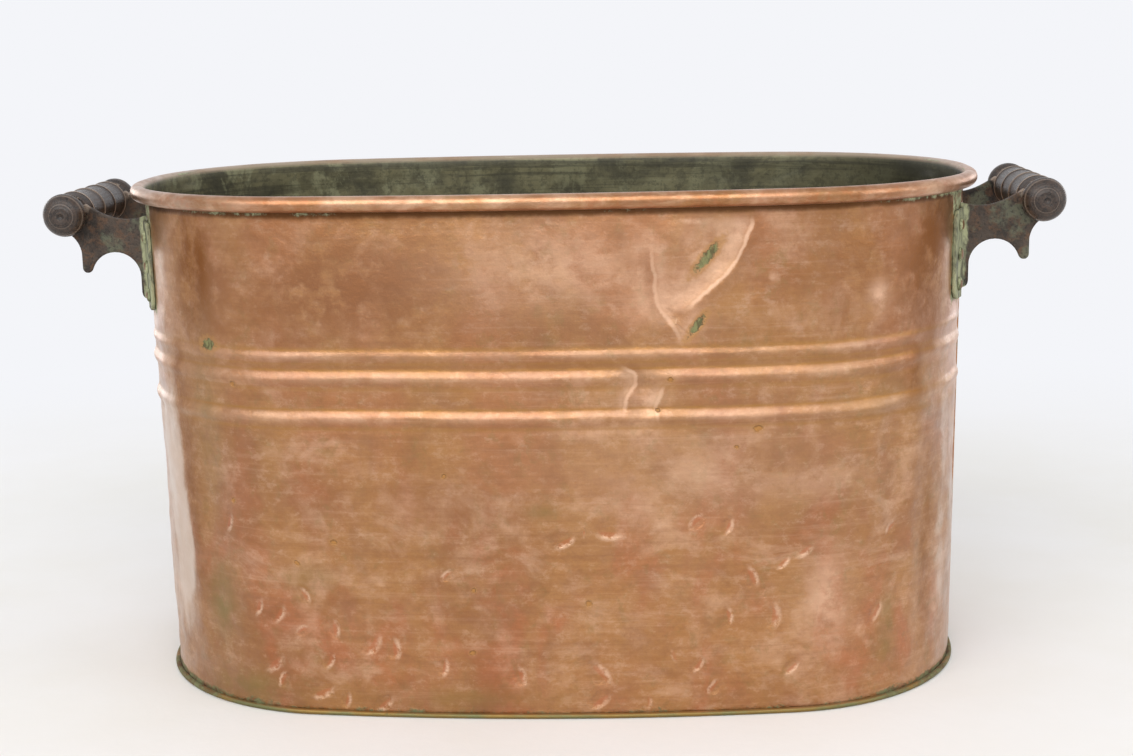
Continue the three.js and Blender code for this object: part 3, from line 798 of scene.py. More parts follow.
def hammered(net, colour, cloud, grit, broken):
    """Hammer marks: a painted highlight as a bright crescent on one side of a shallow dish, and painted warm
    shade in the dish beside it
    """
    dish = None
    for i in range(MARK_SETS):
        along, across, strength = net.split(net.attribute(f"hammer_mark_{i}", "Vector"))
        wander = net.swing(net.blend(0.6, cloud, grit), 1.5)
        reach = net.plus(net.reach(along, across), wander)
        towards = net.math("DIVIDE", along, net.highest(reach, 0.05))
        # A painted highlight on the crescent, and painted shade in the dish beside it
        crescent = net.product(
            net.rise(reach, 1.25, 0.8), net.rise(reach, 0.3, 0.8), net.rise(towards, -0.1, 0.9), strength,
        )
        dish_shade = net.product(net.rise(reach, 0.8, 0.4), net.rise(towards, -0.3, 0.5), strength)
        colour = net.layered(
            colour, (net.palette.pink, crescent, broken, net.rise(grit, 0.34, 0.54), 0.9),
            (net.palette.heat, dish_shade, 0.4),
        )
        depth = net.product(net.rise(reach, 1.15, 0.4), strength)
        dish = depth if dish is None else net.highest(dish, depth)
    return colour, dish


def copper_skin(net):
    """Outside of the walls"""
    palette = net.palette
    colour, roughness, fine_height = copper_look(net)
    cloud = net.noise(60, 5, 0.65)
    grit = net.noise(260, 5, 0.65)
    broken = net.rise(cloud, 0.34, 0.58, 0.25, 1.0)
    # Marks from the front's attributes: "dark" is painted shade, "pale" and "brown" are partly painted
    # highlight and shade, and the rest are tarnish, heat tint and dirt
    for kind, tone, strength in (
        ("brown", palette.brown, 0.9), ("pale", palette.pink, 1.0), ("heat", palette.heat, 0.8),
        ("grime", palette.olive, 0.9), ("recess", palette.groove, 1.0), ("dark", palette.painted_shade, 1.0),
    ):
        mask = net.rise(cloud, 0.34, 0.58, 0.65, 1.0) if kind == "recess" else broken
        colour = net.layered(colour, (tone, net.attribute(kind), mask, strength))
    # The round ends' lower parts are painted whitish, as a reflection
    end_reflection = net.attribute("end_reflection")
    wisps = net.noise(1.0, 7, 0.7, 0.6, stretch=(38, 38, 15))
    end_reflected = net.rise(net.plus(end_reflection, net.swing(wisps, 1.7)), 0.3, 0.95)
    colour = net.layered(colour, (palette.end_reflection, net.product(end_reflected, net.rise(end_reflection, 0, 0.15)), 0.8))
    colour, dish = hammered(net, colour, cloud, grit, broken)

    # Creases: a painted highlight along the line, the raised side painted lighter as lit and the other side
    # painted darker as shade
    offset, crease, _ = net.split(net.attribute("crease", "Vector"))
    across = net.plus(offset, net.swing(cloud, 1.0))
    step = net.product(net.rise(across, -0.5, 0.5), crease)
    colour = net.layered(
        colour,
        (palette.pink, net.product(net.rise(across, 0.0, 0.5), net.rise(across, 3.6, 0.6), crease), 0.35),
        (palette.brown, net.product(net.rise(across, 0, -0.4), net.rise(across, -3, -0.4), crease), 0.5),
        (palette.pink, net.product(net.rise(net.math("ABSOLUTE", across), 0.3, 0.05), crease), 0.85),
    )

    # Green marks with a ragged edge, and the painted shadow under the roll and at the foot
    along, aside, strength = net.split(net.attribute("green_mark", "Vector"))
    away = net.plus(net.reach(along, aside), net.swing(net.noise(420, 3), 1.3))
    spotted = net.product(net.rise(away, 1.0, 0.55), net.rise(strength, 0.0, 0.5))
    # Painted shadow under the roll and above the bottom's lip
    folded = net.rise(net.plus(net.attribute("fold"), net.swing(cloud, 0.6)), 0.25, 0.95)
    colour = net.layered(
        colour, (palette.ochre, net.product(net.rise(away, 1.7, 1.1), strength), 0.6),
        (palette.shadow, folded, 0.92),
    )
    lines = net.noise(1.0, 3, stretch=(330, 330, 140), turn=(0, 0.75, 0))
    gouge = net.mix(net.rise(lines, 0.42, 0.58), palette.dark_green, palette.gouge_green)
    gouge = net.mix(net.rise(strength, 0.9, 0.7), gouge, palette.groove)
    low = net.rise(net.split(net.vector)[2], 0.03, 0.012)
    crust = net.crust(
        net.attribute("verdigris"), net.mix(low, palette.verdigris, palette.lip_green),
        net.mix(low, palette.dark_green, palette.shadow),
    )
    green = net.highest(crust["Mask"], net.product(spotted, strength))
    hidden = net.highest(net.highest(net.attribute("dark"), folded), green)
    net.surface(
        net.layered(colour, (crust["Color"], crust["Mask"]), (gouge, spotted, 0.9)),
        net.blend(green, net.plus(roughness, net.product(net.attribute("pale"), 0.25)), 0.85),
        net.relief(
            (fine_height, 0.00016), (dish, -0.0004), (cloud, 0.0010), (step, -0.0005), (spotted, -0.0008),
            (crust["Height"], 0.0006),
        ),
        net.blend(green, 0.88, 0.1),
        net.product(net.rise(cloud, 0.3, 0.65, 1.0, 0.6), net.without(hidden, 0.9)), 0.3,
    )


def copper_lining(net):
    """Inside of the walls, whose upper edge runs over the roll and is worn to copper"""
    palette = net.palette
    worn, worn_roughness, fine_height = copper_look(net)
    roll = net.attribute("roll")
    x, y, _ = net.split(net.vector)
    soft = net.patches(21.0, (1, 1, 1.2))["Soft"]
    blotches = net.noise(1.0, 7, 0.7, 0.3, stretch=(40, 40, 26))
    brushed = net.effect("Scoured streaks", Vector=net.vector, Fineness=0.6)["Value"]
    flecks = net.noise(210, 5, 0.7)
    rubbed = net.noise(1.0, 6, 0.7, 0.4, stretch=(34, 34, 90))
    lining = net.layered(
        net.mix(net.rise(soft, 0.36, 0.56, 0.3, 1.0), palette.lining_dark, palette.lining),
        # Towards the left-hand end the green bloom is stronger, partly as painted light on the lit end
        (palette.lining_green, net.rise(blotches, 0.49, 0.6), net.rise(x, 0.15, -0.25, 0.4, 1.0)),
        (palette.lining_dark, net.rise(blotches, 0.46, 0.34), 0.5),
        (palette.lining_dark, net.rise(brushed, 0.49, 0.6), 0.6),
        (palette.lining_green, net.rise(brushed, 0.46, 0.36), 0.3),
        (palette.lining_dark, net.rise(flecks, 0.5, 0.4), 0.4),
        # Towards the right-hand end the inside is painted darker, as painted shade
        (palette.lining_dark, net.rise(x, 0.14, 0.27, 0.0, 0.7)),
    )
    greyed = net.product(
        net.rise(y, -0.06, 0.09), net.rise(soft, 0.35, 0.6, 0.6, 0.95), net.attribute("rim_inner"),
    )
    rim = net.layered(
        worn,
        # The roll's left end is painted paler grey, partly as wear and partly as a painted reflection of the
        # pale surroundings
        (palette.worn_wood, net.rise(x, -0.16, -0.25), 0.6),
        (palette.pink, net.rise(soft, 0.4, 0.6, 0.05, 0.5)),
        (palette.brown, net.rise(rubbed, 0.4, 0.66), 0.7),
        (palette.heat, net.rise(flecks, 0.5, 0.62), 0.2),
        (palette.rim_grey, greyed),
    )
    crust = net.crust(net.product(net.attribute("verdigris"), roll))
    smooth_roll = net.math("SUBTRACT", worn_roughness, 0.04)
    net.surface(
        net.mix(roll, lining, net.mix(crust["Mask"], rim, crust["Color"])),
        net.blend(crust["Mask"], net.blend(roll, 0.5, smooth_roll), 0.85),
        net.relief((fine_height, 0.00015), (soft, 0.001), (crust["Height"], 0.0005)),
        net.product(net.blend(roll, 0.3, 0.92), net.without(crust["Mask"])),
        net.product(roll, net.rise(rubbed, 0.4, 0.6, 0.7, 0.3)), 0.34,
    )


def bottom_copper(net):
    """The bottom's outside and its folded lip, green in the fold"""
    palette = net.palette
    colour, roughness, fine_height = copper_look(net)
    dirty = net.noise(34, 5, 0.6, stretch=(1, 1, 3))
    olive = net.mix(net.rise(dirty, 0.35, 0.6), palette.lip_green, palette.olive)
    low = net.rise(net.split(net.vector)[2], 0.0032, 0.0024, 0.6, 1.0)
    crust = net.crust(net.attribute("verdigris"), palette.lip_green, palette.shadow)
    net.surface(
        net.layered(colour, (olive, low), (crust["Color"], crust["Mask"])),
        net.blend(crust["Mask"], net.plus(roughness, 0.08), 0.85),
        net.relief((fine_height, 0.0002), (crust["Height"], 0.0005)),
        net.blend(crust["Mask"], 0.7, 0.1),
    )


def old_iron(net):
    """Ears: dark forged iron with rust, green near the wall and rubbed edges"""
    palette = net.palette
    clouds = net.patches(38.0)
    pits = net.noise(480, 6, 0.65)
    crust = net.crust(net.attribute("verdigris"), dark=palette.iron_bloom, stretch=(1, 1, 0.4))
    colour = net.layered(
        net.mix(net.rise(clouds["Soft"], 0.36, 0.62), palette.iron_dark, palette.iron),
        (palette.rust, clouds["Patchy"], 0.55),
        (palette.iron_bloom, net.rise(net.noise(70, 4, 0.6), 0.5, 0.64), 0.8),
        (palette.iron_dark, net.rise(pits, 0.5, 0.36), 0.7),
        (palette.worn_wood, net.rubbed(), 0.65),
        (crust["Color"], crust["Mask"], 0.9),
    )
    net.surface(
        colour, net.blend(crust["Mask"], net.rise(pits, 0.35, 0.6, 0.36, 0.6), 0.85),
        net.relief((pits, 0.0006), (clouds["Soft"], 0.0012), (crust["Height"], 0.00025)),
        net.blend(crust["Mask"], 0.5, 0.0),
    )


def rivet_copper(net):
    """Hammered rivet heads, browned and greened like the flange round them"""
    colour, roughness, _ = copper_look(net)
    crust = net.crust(net.attribute("verdigris"))
    dimples = net.add("TexVoronoi", {"Vector": net.vector, "Scale": 520.0}).outputs["Distance"]
    net.surface(
        net.layered(colour, (net.palette.iron, 0.6), (crust["Color"], crust["Mask"])),
        net.blend(crust["Mask"], net.plus(roughness, 0.1), 0.85), net.relief((dimples, 0.0004)),
        net.blend(crust["Mask"], 0.75, 0.1),
    )


def turned_wood(net):
    """Grips: dark wood with lathe lines and pale crests, partly worn and partly a painted highlight"""
    palette = net.palette
    grain = net.noise(1.0, 6, 0.65, stretch=(420, 28, 420))
    wander = net.plus(net.product(net.attribute("lathe"), 1000.0), net.product(grain, 0.4))
    turning = Net(net.tree, net.add("CombineXYZ", {"X": wander}).outputs[0])
    lines = turning.noise(0.8, 3, 0.75)
    worn = net.rubbed()
    colour = net.layered(
        net.mix(net.rise(grain, 0.36, 0.62), palette.wood_dark, palette.wood),
        (palette.wood_dark, net.rise(lines, 0.5, 0.6), 0.85),
        (palette.worn_wood, net.rise(lines, 0.46, 0.36), 0.5),
        (palette.rust, net.patches(60.0)["Patchy"], 0.12),
        (palette.worn_wood, worn, 0.65),
    )
    net.surface(
        colour, net.blend(worn, net.rise(grain, 0.3, 0.7, 0.24, 0.42), 0.45),
        net.relief((lines, 0.00035), (grain, 0.0002)),
    )


def drawn_wire(net):
    """The wire inside the rim, with a bloom of rust"""
    clouds = net.patches(40.0)
    net.surface(
        net.mix(clouds["Patchy"], net.palette.wire, net.palette.rust),
        net.rise(clouds["Soft"], 0.3, 0.7, 0.4, 0.7), net.relief((clouds["Soft"], 0.0003)),
        net.blend(clouds["Patchy"], 0.9, 0.2),
    )


MATERIAL_MAKERS = {
    "Copper skin": copper_skin,
    "Copper lining": copper_lining,
    "Bottom copper": bottom_copper,
    "Old iron": old_iron,
    "Rivet copper": rivet_copper,
    "Turned wood": turned_wood,
    "Drawn wire": drawn_wire,
}


def material(name):
    if name not in bpy.data.materials:
        MATERIAL_MAKERS[name](Finish(name))
    return bpy.data.materials[name]


def finish(piece, *names):
    """Gives a piece its materials, in the order of its faces' material indices"""
    piece.data.materials.clear()
    for name in names:
        piece.data.materials.append(material(name))


def store(piece, name, kind, values):
    """Stores one number or vector for each vertex"""
    layer = piece.data.attributes.new(name, kind, "POINT")
    if kind == "FLOAT":
        layer.data.foreach_set("value", values)
    else:
        layer.data.foreach_set("vector", [number for value in values for number in value])


def paint(piece, name, value_at):
    """Stores a value between 0 and 1 for each vertex, from its place"""
    store(piece, name, "FLOAT", [value_at(vertex.co) for vertex in piece.data.vertices])


# Walls
def split_run(stops, width):
    """Evenly spaced values from the first stop to the last, no wider than width, with every stop kept"""
    values = [stops[0]]
    for start, end in zip(stops, stops[1:]):
        steps = max(1, math.ceil(abs(end - start) / width - 1e-6))
        values += [start + (end - start) * (i + 1) / steps for i in range(steps)]
    return values


def wall_rows():
    """The sheet's middle from the curl's tail to the foot's edge, as inset, height and share of roll"""
    rows = []
    steps = 20
    for i in range(steps + 1):
        angle = CURL_TAIL + (math.pi - CURL_TAIL) * i / steps
        inset = ROLL_INSET - CURL_RADIUS * math.cos(angle)
        rows.append((inset, ROLL_HEIGHT + CURL_RADIUS * math.sin(angle), fade(2.8, 2.3, angle)))
    bead_top = BEADS[0][0] + BEADS[0][1] * 0.75
    bead_foot = BEADS[-1][0] - BEADS[-1][1] * 0.75
    coarse = sizes().row_height
    heights = split_run([ROLL_HEIGHT, SEAM_TOP + CLEARANCE, bead_top], coarse)
    heights += split_run([bead_top, bead_foot], sizes().bead_row)[1:]
    heights += split_run([bead_foot, SEAM_FOOT - CLEARANCE, FOOT_HEIGHT], coarse)[1:]
    rows += [(wall_inset(height), height, 0) for height in heights[1:]]
    return rows + [(wall_inset(FOOT_HEIGHT) - SHEET / 2 - FOOT_FLANGE, FOOT_HEIGHT, 0)]


def bead_rise(run, height, front):
    """How far the pressed beads stand out. The front's right end was knocked, which pushed them up."""
    end = half_run - HALF_FLAT
    facet_run = end - facet_start * end_radius
    scale = fade(end, facet_run, abs(run))
    lift = 0
    if front:
        lift = 0.004 * fade(0.215, 0.27, run) + 0.0011 * chance(run * 14, 3.3, 0)
        scale *= 1 - 0.6 * fade(0.205, 0.25, run) * (0.5 + chance(run * 60, height * 60, 1))
    rise = 0
    for middle, width, proud in (*BEADS, FAINT_LINE):
        share = abs(height - middle - lift) / (width / 2)
        if share < 1:
            uneven = 1 + BEAD_UNEVEN * chance(run * 19, middle * 90, float(front))
            rise += proud * min(uneven, 1) * (1 + math.cos(share * math.pi)) / 2
    return rise * scale


def near_ear(run, height, before, behind, below):
    """1 at an ear's flange. Before, behind and below it, this rises from one offset to the other."""
    turn = (half_run - HALF_FLAT - abs(run)) / end_radius
    share = 1
    for edge, offsets, value in (
        (facet_start, before, turn), (facet_start + facet_turn, behind, turn), (FLANGE_FOOT, below, height),
    ):
        share *= fade(edge + offsets[0], edge + offsets[1], value)
    return share


def calm(run, height):
    """1 on the open wall, 0 where the roll, the seams, the foot and the ears hold the sheet"""
    at_ear = near_ear(run, height, (-0.16, -0.04), (0.12, 0.02), (-0.02, -0.004))
    at_seam = fade(0.018, 0.002, half_run - abs(run))
    return 1 - max(at_seam, at_ear, fade(0.302, 0.318, height), fade(0.012, 0.003, height))


def ridge_distance(run, height):
    """Distance to the left of the crumpled panel's curved right-hand ridge"""
    if not 0 < run < 0.2 or height < 0.23:
        return -1
    return line_offset(CREASES[0][2], run, height)[0]


def crumple_at(run, height):
    """1 on the crumpled panel, 0 off it, with a sharp ridge on its right and a soft edge on its left"""
    across = ridge_distance(run, height)
    panel = fade(-0.003, 0.006, across) * fade(0.07, 0.035, across)
    return panel * fade(0.236, 0.262, height) * fade(0.3165, 0.309, height)


def front_dents(run, height):
    """The larger dents of the front"""
    across = ridge_distance(run, height)
    panel = crumple_at(run, height)
    dent = -panel * (0.0005 + 0.0007 * fade(0.05, 0, across))
    ridge = swell(across, 0.003) * fade(0.25, 0.275, height) * fade(0.316, 0.308, height)
    dent += 0.0002 * ridge * (0.6 + chance(height * 90, 0.2, 0.5))
    dent += panel * 0.0014 * chance(run * 45, height * 36, 4.2)
    for x, middle, half_length, half_height, depth in DENTS:
        dent -= depth * math.exp(-ellipse_reach(run - x, height - middle, half_length, half_height))
    return dent


def waves(point, run):
    """Long buckles and short ripples, stronger on the round ends"""
    ends = fade(0.14, 0.25, abs(run))
    tall = Vector((point.x, point.y, point.z * 0.45))
    long_wave = noise.noise(point * 9) * (1 + 0.9 * ends)
    middle_wave = noise.noise(tall * 30 + Vector((5, 1, 3))) * (0.28 + 1.5 * ends)
    low = fade(0.2, 0.1, point.z)
    short_wave = noise.noise(point * 75 + Vector((2, 7, 1))) * (0.25 + 0.75 * low + 0.5 * ends)
    return (long_wave + middle_wave) * sizes().buckle + short_wave * sizes().ripple


def nearest_mark(marks, run, height, limit):
    """Offset to the nearest mark in units of its size, along and across it, and its strength"""
    best = (FAR, FAR, 0)
    strength = 0
    for mark_run, mark_height, half_length, half_width, turn in marks:
        x = run - mark_run
        y = height - mark_height
        along = (x * math.cos(turn) + y * math.sin(turn)) / half_length
        across = (y * math.cos(turn) - x * math.sin(turn)) / half_width
        reach = along * along + across * across
        if reach < best[0]:
            best = (reach, along, across)
            strength = 1 if half_length > SPOT_SIZE else 0.6
    reach, along, across = best
    scale = 4 / max(4, math.sqrt(reach))
    return along * scale, across * scale, strength * float(reach < limit**2)


def hammer_marks():
    marks = []
    for i, (x, height) in enumerate(HAMMER_MARKS):
        radius = MARK_RADIUS * (1 + 0.6 * chance(i * 3.7, 0.4, 0.9))
        turn = -20 + 120 * chance(i * 5.3, 2.4, 0.1) + (180 if i % 5 == 3 else 0)
        marks.append((run_at(x), height, radius * 0.7, radius * 1.15, math.radians(turn)))
    return marks


def line_offset(points, run, height):
    """Distance from a line, positive on its right from start to end, and how far along it, from 0 to 1"""
    best = (FAR, 1, 0)
    for i, (start, end) in enumerate(zip(points, points[1:])):
        along_x, along_y = end[0] - start[0], end[1] - start[1]
        x, y = run - start[0], height - start[1]
        share = min(max((x * along_x + y * along_y) / (along_x**2 + along_y**2), 0), 1)
        distance = math.hypot(x - share * along_x, y - share * along_y)
        if distance < best[0]:
            side = math.copysign(1, x * along_y - y * along_x)
            best = (distance, side, (i + share) / (len(points) - 1))
    return best[0] * best[1], best[2]


def crease_at(creases, run, height):
    """Offset from the nearest crease in crease units, positive on its raised side, which is painted lighter
    as lit, and its strength
    """
    best = (1, 0, 0)
    for strength, reach, points in creases:
        if not min(x for x, _ in points) - reach < run < max(x for x, _ in points) + reach:
            continue
        offset, share = line_offset(points, run, height)
        if abs(offset) / reach < best[0]:
            fading = fade(0, 0.2, share) * fade(1, 0.8, share) * fade(1, 0.5, abs(offset) / reach)
            best = (abs(offset) / reach, offset / CREASE_UNIT, strength * fading)
    return best[1], best[2], 0


def room_for(mark, chosen):
    """Distance from a mark to the nearest of those already chosen"""
    return min((math.dist(mark[:2], other[:2]) for other in chosen), default=1)


def mark_sets(marks):
    """Marks shared out to sets in which no two lie close together"""
    sets = [[] for _ in range(MARK_SETS)]
    for mark in marks:
        free = [chosen for chosen in sets if room_for(mark, chosen) > MARK_SPACING]
        best = free[0] if free else max(sets, key=lambda chosen: room_for(mark, chosen))
        best.append(mark)
    return sets


def mark_dents(marks, run, height):
    """Depth of the shallow dish under each hammer mark"""
    depth = 0
    for mark_run, mark_height, length, width, _ in marks:
        reach = ellipse_reach(run - mark_run, height - mark_height, length, width)
        if reach < 4:
            depth += MARK_DEPTH * math.exp(-reach * 1.4)
    return -depth


def half_wall(name, front):
    """One half of the wall as it is bent, dented and thickened, without its folds"""
    rows = wall_rows()
    stop = half_run - CLEARANCE / 2
    notch = half_run - SEAM_REACH - LAYER
    runs = split_run([-stop, -notch, notch, stop], sizes().column_width)
    marks = hammer_marks() if front else []
    facing = 1 if front else -1
    stations = [rim_station(run) for run in runs]

    def point_at(column, row):
        run = runs[column]
        inset, height, _ = rows[row]
        point, normal = stations[column]
        rise = 0
        if CALM_FOOT < height < CALM_TOP:
            flat = point - normal * inset
            rise = bead_rise(run, height, front)
            seen = Vector((flat.x * facing, flat.y * facing, height))
            dents = waves(seen, run)
            if front:
                dents += front_dents(run, height) + mark_dents(marks, run, height)
            rise += dents * calm(run, height)
        plan = flatten(point - normal * (inset - rise), inset, height)
        return Vector((plan.x * facing, plan.y * facing, height))

    piece, order = formed_grid(name, len(runs), len(rows), point_at)
    store_marks(piece, order, runs, rows, marks, front)
    if not front:
        cut_notches(piece, runs, rows, order)
    flip(piece)
    finish(piece, "Copper skin", "Copper lining")
    apply_modifier(piece, "SOLIDIFY", thickness=SHEET, offset=0, material_offset=1, material_offset_rim=1)
    return piece


def flatten(point, inset, height):
    """Lays the wall flat where an ear's flange is riveted to it"""
    amount = fade(FLANGE_FOOT - 0.012, FLANGE_FOOT - 0.003, height)
    side = math.copysign(1, point.x)
    outward = Vector((facet_outward.x * side, facet_outward.y))
    centre = Vector((end_centre_x * side, -HALF_FLAT))
    chord = (end_radius - inset) * math.cos(facet_turn / 2)
    distance = (point - centre).dot(outward)
    if distance > chord and height < FACET_TOP:
        return point - outward * (distance - chord) * amount
    return point


def cut_notches(piece, runs, rows, order):
    """Cuts the back's edge away where the front's folded edge goes"""
    edit(piece, "DESELECT")
    bpy.ops.mesh.select_mode(type="FACE")
    leave_edit()
    last = len(runs) - 2
    for face in piece.data.polygons:
        columns = [order[i][0] for i in face.vertices]
        low = min(rows[order[i][1]][1] for i in face.vertices)
        high = max(rows[order[i][1]][1] for i in face.vertices)
        at_edge = max(columns) <= 1 or min(columns) >= last
        inside = low > SEAM_FOOT - CLEARANCE * 1.5 and high < SEAM_TOP + CLEARANCE * 1.5
        on_wall = all(rows[order[i][1]][2] < 1 for i in face.vertices)
        face.select = at_edge and inside and on_wall
    bpy.ops.object.mode_set(mode="EDIT")
    bpy.ops.mesh.delete(type="FACE")
    leave_edit()


def stain_at(kind, run, height):
    """Strength of a soft mark at a place on the front: mostly stains, with painted light and shade among
    them
    """
    return max(
        strength * math.exp(-1.2 * ellipse_reach(run - run_at(x), height - middle, half_length, half_height))
        for x, middle, half_length, half_height, strength in STAINS[kind]
    )


def pale_at(run, height):
    """How pale the front is painted: by its stains, some of them painted highlights, by a painted highlight
    on the crumpled panel, and on the beads' crests
    """
    # The crumpled panel is painted pale as a highlight, most by its ridge
    panel = 0.6 * crumple_at(run, height) * fade(0.06, 0, ridge_distance(run, height))
    return max(stain_at("pale", run, height), panel, crest_at(run, height))


def recess_at(_, height):
    """1 in the hollows along the beads, where tarnish stays"""
    return max(
        strength * swell(height - middle - width * share, 0.0012)
        for middle, width, _ in BEADS for share, strength in ((0.5, 0.95), (-0.5, 0.6))
    )


def crest_at(run, height):
    """How pale the beads' crests are painted, more in some places than in others: partly wear, partly a
    painted highlight
    """
    value = 0
    for middle, width, _ in BEADS:
        patchy = 0.65 + 1.1 * chance(run * 24, middle * 70, 7)
        value = max(value, patchy * swell(height - middle - width * 0.1, width * 0.3))
    return CREST_SHARE * min(value, 1)


def end_reflection_at(run, height):
    """1 on the lower part of the round ends, which are painted whitish as a reflection"""
    from_seam = half_run - HALF_FLAT - abs(run) + 0.010 * chance(height * 17, 3.7, 0)
    start, share = (0.113, 1) if run < 0 else (0.092, 0.78)
    middle = share * (0.4 + 0.6 * fade(0.035, 0.092, from_seam))
    return middle * fade(start, start - 0.022, from_seam) * fade(0.25, 0.15, height) * fade(0, 0.07, height)


def fold_shadow_at(height, on_wall):
    """1 where the wall goes under the roll and into the bottom's fold, which are painted dark as shadow"""
    if not on_wall:
        return 0
    return max(fade(0.3130, 0.3183, height), 0.4 * fade(0.0065, 0.0030, height))


def green_at(run, height, front, on_wall):
    """How much verdigris creeps from the roll, the ears' flanges, the seams and the foot"""
    if not on_wall:
        return 0.12 + 0.1 * chance(run * 9, 0.7, 0)
    at_ear = near_ear(run, height, (-0.02, 0.02), (0.03, -0.02), (-0.012, 0.004))
    under_roll = fade(0.3135, 0.3185, height) * (0.22 + 0.3 * chance(run * 11, 0.3, 0))
    if front:
        under_roll += fade(0.3135, 0.319, height) * 0.3 * swell(run + 0.205, 0.05)
        under_roll += fade(0.3125, 0.319, height) * 0.4 * fade(0.2, 0.26, run)
    foot = fade(0.011, 0.003, height) * (0.42 + 0.4 * fade(0.15, 0.3, abs(run)))
    seam = fade(0.012, 0.005, half_run - abs(run)) * 0.5
    return min(1, max(at_ear * 0.65, under_roll, foot, seam))


def store_marks(piece, order, runs, rows, marks, front):
    """Stores stains, verdigris and the offsets to the marks on the wall's vertices"""
    places = [(runs[column], rows[row][1]) for column, row in order]
    rolls = [rows[row][2] for _, row in order]

    def store_each(name, value_at, kind="FLOAT"):
        store(piece, name, kind, [value_at(run, height) for run, height in places])

    store(piece, "roll", "FLOAT", rolls)
    insets = [rows[row][0] for _, row in order]
    store(piece, "rim_inner", "FLOAT", [fade(ROLL_INSET - 0.001, ROLL_INSET + 0.002, x) for x in insets])
    walled = [(run, height, roll < 1) for (run, height), roll in zip(places, rolls)]
    store(piece, "verdigris", "FLOAT", [green_at(run, height, front, on) for run, height, on in walled])
    store(piece, "fold", "FLOAT", [fold_shadow_at(height, on) for _, height, on in walled])
    store_each("recess", recess_at)
    reflection_share = 1 if front else BACK_END_REFLECTION
    store_each("end_reflection", lambda run, height: reflection_share * end_reflection_at(run, height))
    if not front:
        store_each("pale", crest_at)
        return
    for kind in STAINS:
        store_each(kind, pale_at if kind == "pale" else lambda run, height: stain_at(kind, run, height))
    lines = [(strength, reach, [(run_at(x), z) for x, z in points]) for strength, reach, points in CREASES]
    store_each("crease", lambda run, height: crease_at(lines, run, height), "FLOAT_VECTOR")
    green_marks = [(run_at(x), z, a, b, math.radians(turn)) for x, z, a, b, turn in GREEN_MARKS]
    kinds = [(f"hammer_mark_{i}", chosen, MARK_LIMIT) for i, chosen in enumerate(mark_sets(marks))]
    for name, chosen, limit in kinds + [("green_mark", green_marks, GREEN_LIMIT)]:
        store_each(name, lambda run, height: nearest_mark(chosen, run, height, limit), "FLOAT_VECTOR")


def folded_strip(name, middle):
    """A folded edge at the right-hand seam, from points outwards from the wall and to the back"""
    height = SEAM_TOP - SEAM_FOOT
    steps = 40
    points = rounded(middle, LAYER * 0.48)

    def point_at(column, row):
        outwards, back = points[column]
        z = SEAM_FOOT + height * row / steps
        x = HALF_LENGTH - wall_inset(z) + SHEET / 2 + outwards
        return Vector((x, back, z))

    piece, _ = formed_grid(name, len(points), steps + 1, point_at)
    finish(piece, "Copper skin", "Copper lining")
    apply_modifier(piece, "SOLIDIFY", thickness=SHEET - 0.0001, offset=0)
    face_outwards(piece)
    for face in piece.data.polygons:
        inner_skin = HALF_LENGTH - wall_inset(face.center.z) - SHEET / 4
        face.material_index = int(face.center.x < inner_skin)
    paint(piece, "verdigris", lambda co: 0.35)
    return piece


def rounded(points, radius):
    """A line of points with each corner rounded"""
    path = [Vector(points[0])]
    for before, corner, after in zip(points, points[1:], points[2:]):
        corner = Vector(corner)
        back = (Vector(before) - corner).normalized() * radius
        ahead = (Vector(after) - corner).normalized() * radius
        for i in range(5):
            share = i / 4
            first = corner + back * (1 - share)
            second = corner + ahead * share
            path.append(first.lerp(second, share))
    path.append(Vector(points[-1]))
    return path


def front_fold():
    first = -SHEET / 2
    third = first + 2 * LAYER
    return [(first, -0.006), (first, SEAM_REACH), (third, SEAM_REACH), (third, -SEAM_HOOK)]


def back_fold():
    first = -SHEET / 2
    jog = SEAM_REACH + LAYER
    turn = -SEAM_HOOK - LAYER + SHEET / 2
    return [
        (first, HALF_FLAT), (first, jog), (first + 3 * LAYER, jog), (first + 3 * LAYER, turn),
        (first + LAYER, turn), (first + LAYER, SEAM_REACH - LAYER + SHEET / 2),
    ]


class BOILER_OT_walls(bpy.types.Operator):
    """Bend, bead, roll, dent and seam the two halves of the wall"""
    bl_idname = "boiler.walls"
    bl_label = "Copper Walls"

    def execute(self, context):
        for name, node, front, fold in (
            ("front_wall", "front_shell", True, front_fold()),
            ("back_wall", "back_shell", False, back_fold()),
        ):
            wall = half_wall(name, front)
            right_fold = folded_strip(name + "_fold", fold)
            left_fold = mirrored_copy(right_fold, name + "_left_fold", -1, 1)
            wall = join([wall, right_fold, left_fold], name)
            smooth(wall, 50)
            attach(wall, "tub")
            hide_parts(node)
        return {"FINISHED"}


# Bottom
def pan_rows():
    """The bottom's sheet from its middle out to the folded edge, as inset and height"""
    low = SHEET / 2
    foot = wall_inset(FOOT_HEIGHT) - SHEET / 2
    fold_centre = foot - FOOT_FLANGE
    rest = fold_centre + 0.009
    panel = low + 0.003
    rows = [(inset, panel) for inset in (0.13, 0.12, 0.11, 0.1, 0.09, 0.08, 0.07, 0.06, 0.05, 0.04, 0.032)]
    rows += [(rest + 0.004 * (1 - i / 8), panel - (panel - low) * fade(0, 1, i / 8)) for i in range(9)]
    rows += [(rest - 0.003, low), (rest - 0.006, low)]
    fold = [math.pi * i / 12 for i in range(13)]
    rows += [(fold_centre - LAYER * math.sin(turn), FOOT_HEIGHT - LAYER * math.cos(turn)) for turn in fold]
    return rows + [(foot - CLEARANCE, FOOT_HEIGHT + LAYER)]


